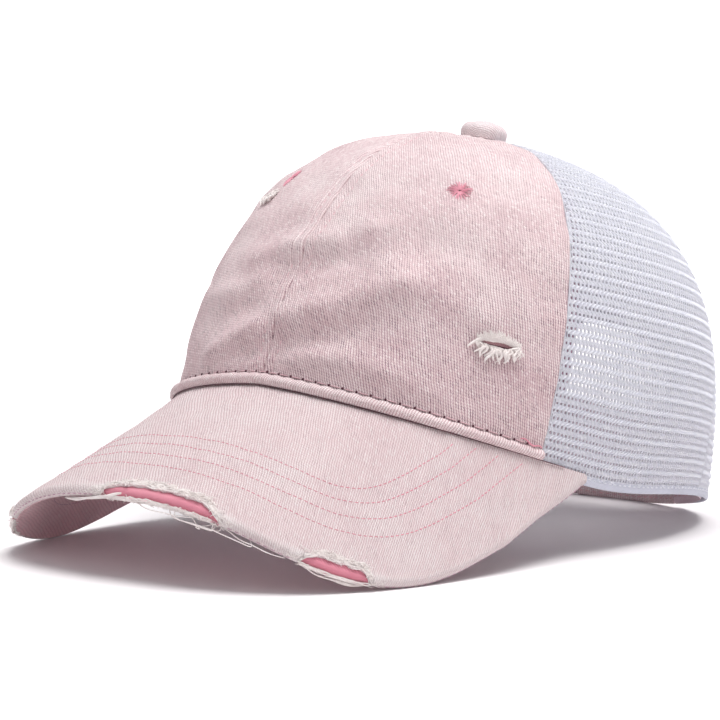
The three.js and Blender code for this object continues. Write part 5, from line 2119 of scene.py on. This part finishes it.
    def build_under(self) -> None:
        """The cloth underneath, which turns up at the edge where the upper one is torn."""
        side, width = self.side, self.width
        torn = np.clip(self.form.torn(side) / 3.0, 0, 1)
        steps = 16
        end = width - self.lip + 0.15
        flat = np.linspace(0, 1, steps)[None, :-1] ** 0.9 * end
        turned = np.linspace(0, 1, 7)[None, :] * (math.radians(8) + torn * math.radians(62))
        thick = self.cloth_wall * 0.8

        def profile(radius: float) -> tuple[Array, Array]:
            """Lengths out and depths of the cloth's skin at a radius round the edge."""
            out = np.concatenate([flat, end + radius * np.sin(turned)], axis=1)
            level = np.full(flat.shape, self.lip + radius)
            return out, np.concatenate([level, self.lip + radius * np.cos(turned)], axis=1)

        out, low = profile(self.lip)
        in_out, in_low = profile(self.lip - thick)
        sides = np.broadcast_to(side, out.shape)
        within = np.clip(out / 10, 0, 1) * np.clip((width - out) / 8, 0, 1)
        puff = 0.1 * ripples(sides * 200, out, 12, 81) * within
        outer = self.form.place(sides, out, low + puff)
        inner = self.form.place(sides, in_out, in_low + puff)
        wear = torn * smooth_step(0.4, 1.0, (out - end + 0.8) / 2.2)
        piece = Piece("brim_under_cloth")
        piece.shell(outer, inner, self.flat_cut(sides, out), np.clip(wear, 0, 1))
        piece.build(Slot.TWILL, self.finishes.under_twill, ("brim_under",))

    def build_rows(self) -> None:
        """The rose stitching on top of the brim and the seam along its edge."""
        rows = Piece("brim_stitch_rows")
        below = Piece("brim_under_stitches")
        for distance in self.rows_from_edge:
            side, out = self.form.row(distance)
            up = self.form.up(side, out)
            points = self.form.place(side, out, self.puff(side, out, self.form.reach(side)))
            stitches(rows, points, up, ROW_STITCH)
            stitches(below, self.form.place(side, out, self.depth), -up, UNDER_STITCH)
        rows.build(Slot.THREAD, self.finishes.rose)
        below.build(Slot.THREAD, self.finishes.seam)
        edge = Piece("brim_edge_stitches")
        tears = sorted(self.form.tears, key=lambda one: one.start)
        starts = [-0.985] + [tear.end + 0.01 for tear in tears]
        ends = [tear.start - 0.01 for tear in tears] + [0.985]
        for start, end in zip(starts, ends):
            side = np.linspace(start, end, 120)
            width = self.form.reach(side)
            out, low = self.round_the_edge(width - self.lip + 3.4, width, 0.0)
            points = self.form.place(side, out, low)
            ups = unit(points - self.form.place(side, width - self.lip, np.full(side.shape, self.lip)))
            stitches(edge, points, ups, EDGE_STITCH)
        edge.build(Slot.THREAD, self.finishes.seam)

    def build_fray(self, number: int, tear: Tear) -> None:
        """The bared cotton along one tear: matted strands, short ends and the loose threads.

        Args:
            number: the tear's number, for the piece's name.
            tear: the torn place.
        """
        form = self.form
        rng = np.random.default_rng(90 + number)
        piece = Piece(f"brim_fray_{number}")
        span = tear.end - tear.start
        steps = max(int(span * self.half_edge / 1.6), 14)
        for strand in range(12):
            off = strand * 0.26 + rng.uniform(-0.1, 0.1)
            reach = rng.uniform(0.96, 1.08) if strand < 6 else rng.uniform(0.45, 0.9)
            shift = rng.uniform(-0.4, 0.4) * max(1 - reach, 0) * span
            side = np.linspace(-0.5, 0.5, steps) * span * reach + (tear.start + tear.end) / 2 + shift
            width = form.reach(side)
            wave = ripples(side * self.half_edge, side * 0, 5, 100 * number + strand)
            run = self.whole_run(side, width) - 0.1 - off + 0.3 * wave
            out, low = self.round_the_edge(run, width, 0.0)
            lift = 0.3 + 0.2 * ripples(side * self.half_edge, side * 0, 4, 110 * number + strand)
            paths = form.place(side, out, low - lift)
            piece.threads(paths[None], form.up(side, out)[None], 0.6, 0.5, taper=0.3)
        for strand in range(6):
            side = np.linspace(-0.5, 0.5, steps) * span * rng.uniform(0.75, 1.0) + (tear.start + tear.end) / 2
            wave = ripples(side * self.half_edge, side * 0, 4, 120 * number + strand)
            turn = np.radians(140 - 10 * strand) + 0.15 * wave
            paths, ups = self.edge_point(side, turn, 0.2)
            piece.threads(paths[None], ups[None], 0.6, 0.45, taper=0.3)
        self.add_tufts(piece, tear, rng)
        for thread in self.loose_threads.get(number, ()):
            self.add_loose(piece, thread)
        piece.build(Slot.TWILL, self.finishes.cotton)

    def edge_point(self, side: Array, turn: Array, away: Array | float) -> tuple[Array, Array]:
        """A point round the brim's lip, 0 on top and pi underneath, with its outward direction."""
        width = self.form.reach(side)
        radius = self.lip + away
        out = width - self.lip + radius * np.sin(turn)
        points = self.form.place(side, out, self.lip - radius * np.cos(turn))
        middle = self.form.place(side, width - self.lip, np.full(np.shape(side), self.lip))
        return points, unit(points - middle)

    def add_loose(self, piece: Piece, thread: LooseThread) -> None:
        """One loose thread, or a rope of several, hanging at the edge."""
        share = np.linspace(0, 1, 20)
        rng = np.random.default_rng(int(abs(thread.start) * 1000) + thread.strands)
        for _ in range(thread.strands):
            apart = rng.uniform(-0.5, 0.5, 3) * (thread.strands > 1)
            side = thread.start + (thread.end - thread.start) * (share + 0.06 * apart[0])
            side = side + 0.012 * thread.twist * np.sin(share * math.tau + apart[1])
            sag = thread.drop * np.sin(share * math.pi) ** 0.8 + 0.3 * np.sin(share * 9 + apart[2] * 4)
            first = thread.turn if thread.first_turn is None else thread.first_turn
            turn = np.radians(np.linspace(first, thread.turn, 20)) + 0.25 * apart[1]
            points, ups = self.edge_point(side, turn, 0.3 + 0.5 * np.sin(share * math.pi) + 0.5 * apart[2])
            points[:, 2] -= np.maximum(sag, -0.2) * smooth_step(0, 0.2, share)
            piece.threads(points[None], ups[None], thread.width, thread.width * 0.85, taper=0.4)

    def add_tufts(self, piece: Piece, tear: Tear, rng: np.random.Generator) -> None:
        """Short ends that stand along both lips of a tear."""
        form = self.form
        span = tear.end - tear.start
        share = np.linspace(0, 1, 6)[None, :]
        count = int(span * self.half_edge * 6)
        side = rng.uniform(tear.start - 0.02, tear.end + 0.02, (count, 1))
        width = form.reach(side)
        start = self.whole_run(side, width) - rng.uniform(0.0, 2.6, (count, 1))
        long = rng.uniform(0.8, 2.2, (count, 1))
        sides = side + rng.normal(0, 1.0, (count, 1)) / self.half_edge * long * share
        heading = rng.choice([0.7, -0.6], (count, 1))
        run = start + long * share * heading
        out, low = self.round_the_edge(run, np.broadcast_to(width, sides.shape), 0.0)
        lift = 0.3 + rng.uniform(0.2, 0.8, (count, 1)) * np.sin(share * 2.6)
        paths = form.place(sides, out, low - lift)
        piece.threads(paths, form.up(sides, out), rng.uniform(0.22, 0.36, count), 0.26, taper=0.5)
        count = int(span * self.half_edge * 3)
        side = rng.uniform(tear.start, tear.end, (count, 1))
        turn = np.radians(rng.uniform(85, 140, (count, 1))) + share * rng.uniform(-0.6, 0.8, (count, 1))
        sides = side + rng.normal(0, 1.4, (count, 1)) / self.half_edge * share
        away = 0.15 + rng.uniform(0.1, 0.8, (count, 1)) * share
        paths, ups = self.edge_point(sides, turn, away)
        piece.threads(paths, ups, rng.uniform(0.22, 0.36, count), 0.26, taper=0.5)


# Studio


@dataclass
class Studio:
    """The pale floor, the soft lights and the camera."""

    target: tuple[float, float, float] = (0.0, 9.776, 59.754)
    azimuth: float = 41.38
    elevation: float = 6.17
    distance: float = 1564.4
    lens: float = 224.0
    shift: tuple[float, float] = (-0.0561, 0.0047)
    sweep: tuple[float, float] = (0.3, 1.1)
    floor_glow: float = 0.3

    def build(self) -> None:
        """Builds the whole studio."""
        self.build_floor()
        self.build_world()
        self.build_lights()
        self.build_camera()

    def build_floor(self) -> None:
        """A wide pale floor that shows as white far off, like a lit studio sweep."""
        mesh = bpy.data.meshes.new("studio_floor")
        half = 6.0
        corners = [(-half, -half, 0), (half, -half, 0), (half, half, 0), (-half, half, 0)]
        mesh.from_pydata([(x, y, z - 0.00002) for x, y, z in corners], [], [(0, 1, 2, 3)])
        material = bpy.data.materials.new("studio_floor")
        material.use_nodes = True
        graph = Graph(material.node_tree)
        shader = material.node_tree.nodes["Principled BSDF"]
        place = graph.add("TexCoord").outputs["Object"]
        tone = graph.blend(graph.noise(place, 3.0), colour(243, 239, 240), colour(246, 243, 244))
        away = graph.add("VectorMath", {0: place}, operation="LENGTH").outputs["Value"]
        seen = graph.add("LightPath").outputs["Is Camera Ray"]
        share = graph.times(graph.ramp(away, *self.sweep), graph.ramp(seen, 0, 1, self.floor_glow, 1))
        glow = graph.blend(share, (0, 0, 0, 1), (1, 1, 1, 1))
        graph.link(shader, {"Base Color": tone, "Emission Color": glow})
        set_shader(shader, roughness=0.9, specular_ior_level=0.1, emission_strength=0.75)
        mesh.materials.append(material)
        floor = bpy.data.objects.new("studio_floor", mesh)
        bpy.context.scene.collection.objects.link(floor)

    def build_world(self) -> None:
        """A white surround."""
        world = bpy.data.worlds.new("studio")
        bpy.context.scene.world = world
        world.use_nodes = True
        graph = Graph(world.node_tree)
        light = world.node_tree.nodes["Background"]
        light.inputs["Color"].default_value = (0.97, 0.97, 1.0, 1.0)
        light.inputs["Strength"].default_value = 0.44
        shown = graph.add("Background", {"Color": (1, 1, 1, 1), "Strength": 1.05})
        camera_ray = graph.add("LightPath").outputs["Is Camera Ray"]
        mix = graph.add("MixShader", {0: camera_ray, 1: light.outputs[0], 2: shown.outputs[0]})
        graph.link(world.node_tree.nodes["World Output"], {"Surface": mix.outputs[0]})

    def add_light(self, name: str, place: tuple[float, float, float], size: float, power: float) -> None:
        """One square soft light that faces the cap."""
        data = bpy.data.lights.new(name, "AREA")
        data.shape = "SQUARE"
        data.size = size
        data.energy = power
        light = bpy.data.objects.new(name, data)
        light.location = place
        aim = Vector((0, 0, 0.05)) - Vector(place)
        light.rotation_mode = "QUATERNION"
        light.rotation_quaternion = aim.to_track_quat("-Z", "Y")
        bpy.context.scene.collection.objects.link(light)

    def build_lights(self) -> None:
        """A large soft light overhead, a little behind, and weak ones in front and beside the mesh."""
        self.add_light("overhead", (0.25, 0.15, 1.9), 1.3, 40.5)
        self.add_light("front_fill", (1.3, -1.5, 1.0), 1.2, 0.5)
        self.add_light("mesh_fill", (1.5, 0.9, 0.2), 0.8, 3.2)

    def build_camera(self) -> None:
        """The camera at the photograph's angle."""
        azimuth = math.radians(self.azimuth)
        elevation = math.radians(self.elevation)
        level = math.cos(elevation)
        back = Vector((math.sin(azimuth) * level, -math.cos(azimuth) * level, math.sin(elevation)))
        data = bpy.data.cameras.new("camera")
        data.lens = self.lens
        data.sensor_width = 36.0
        data.shift_x, data.shift_y = self.shift
        data.clip_start, data.clip_end = 0.05, 50
        camera = bpy.data.objects.new("camera", data)
        camera.location = (Vector(self.target) + back * self.distance) * MM
        camera.rotation_mode = "QUATERNION"
        camera.rotation_quaternion = (-back).to_track_quat("-Z", "Y")
        bpy.context.scene.collection.objects.link(camera)
        bpy.context.scene.camera = camera
        bpy.context.scene.view_settings.view_transform = "Standard"


def main() -> None:
    """Builds the studio and every part of the cap in order."""
    logging.basicConfig(level=logging.INFO, format="%(name)s: %(message)s")
    Studio().build()
    crown = CrownForm()
    finishes = Finishes()
    FrontPanels(crown, finishes).build()
    MeshPanels(crown, finishes).build()
    Inside(crown, finishes).build()
    TopButton(crown, finishes).build()
    Brim(BrimForm(crown), finishes).build()


if __name__ == "__main__":
    main()
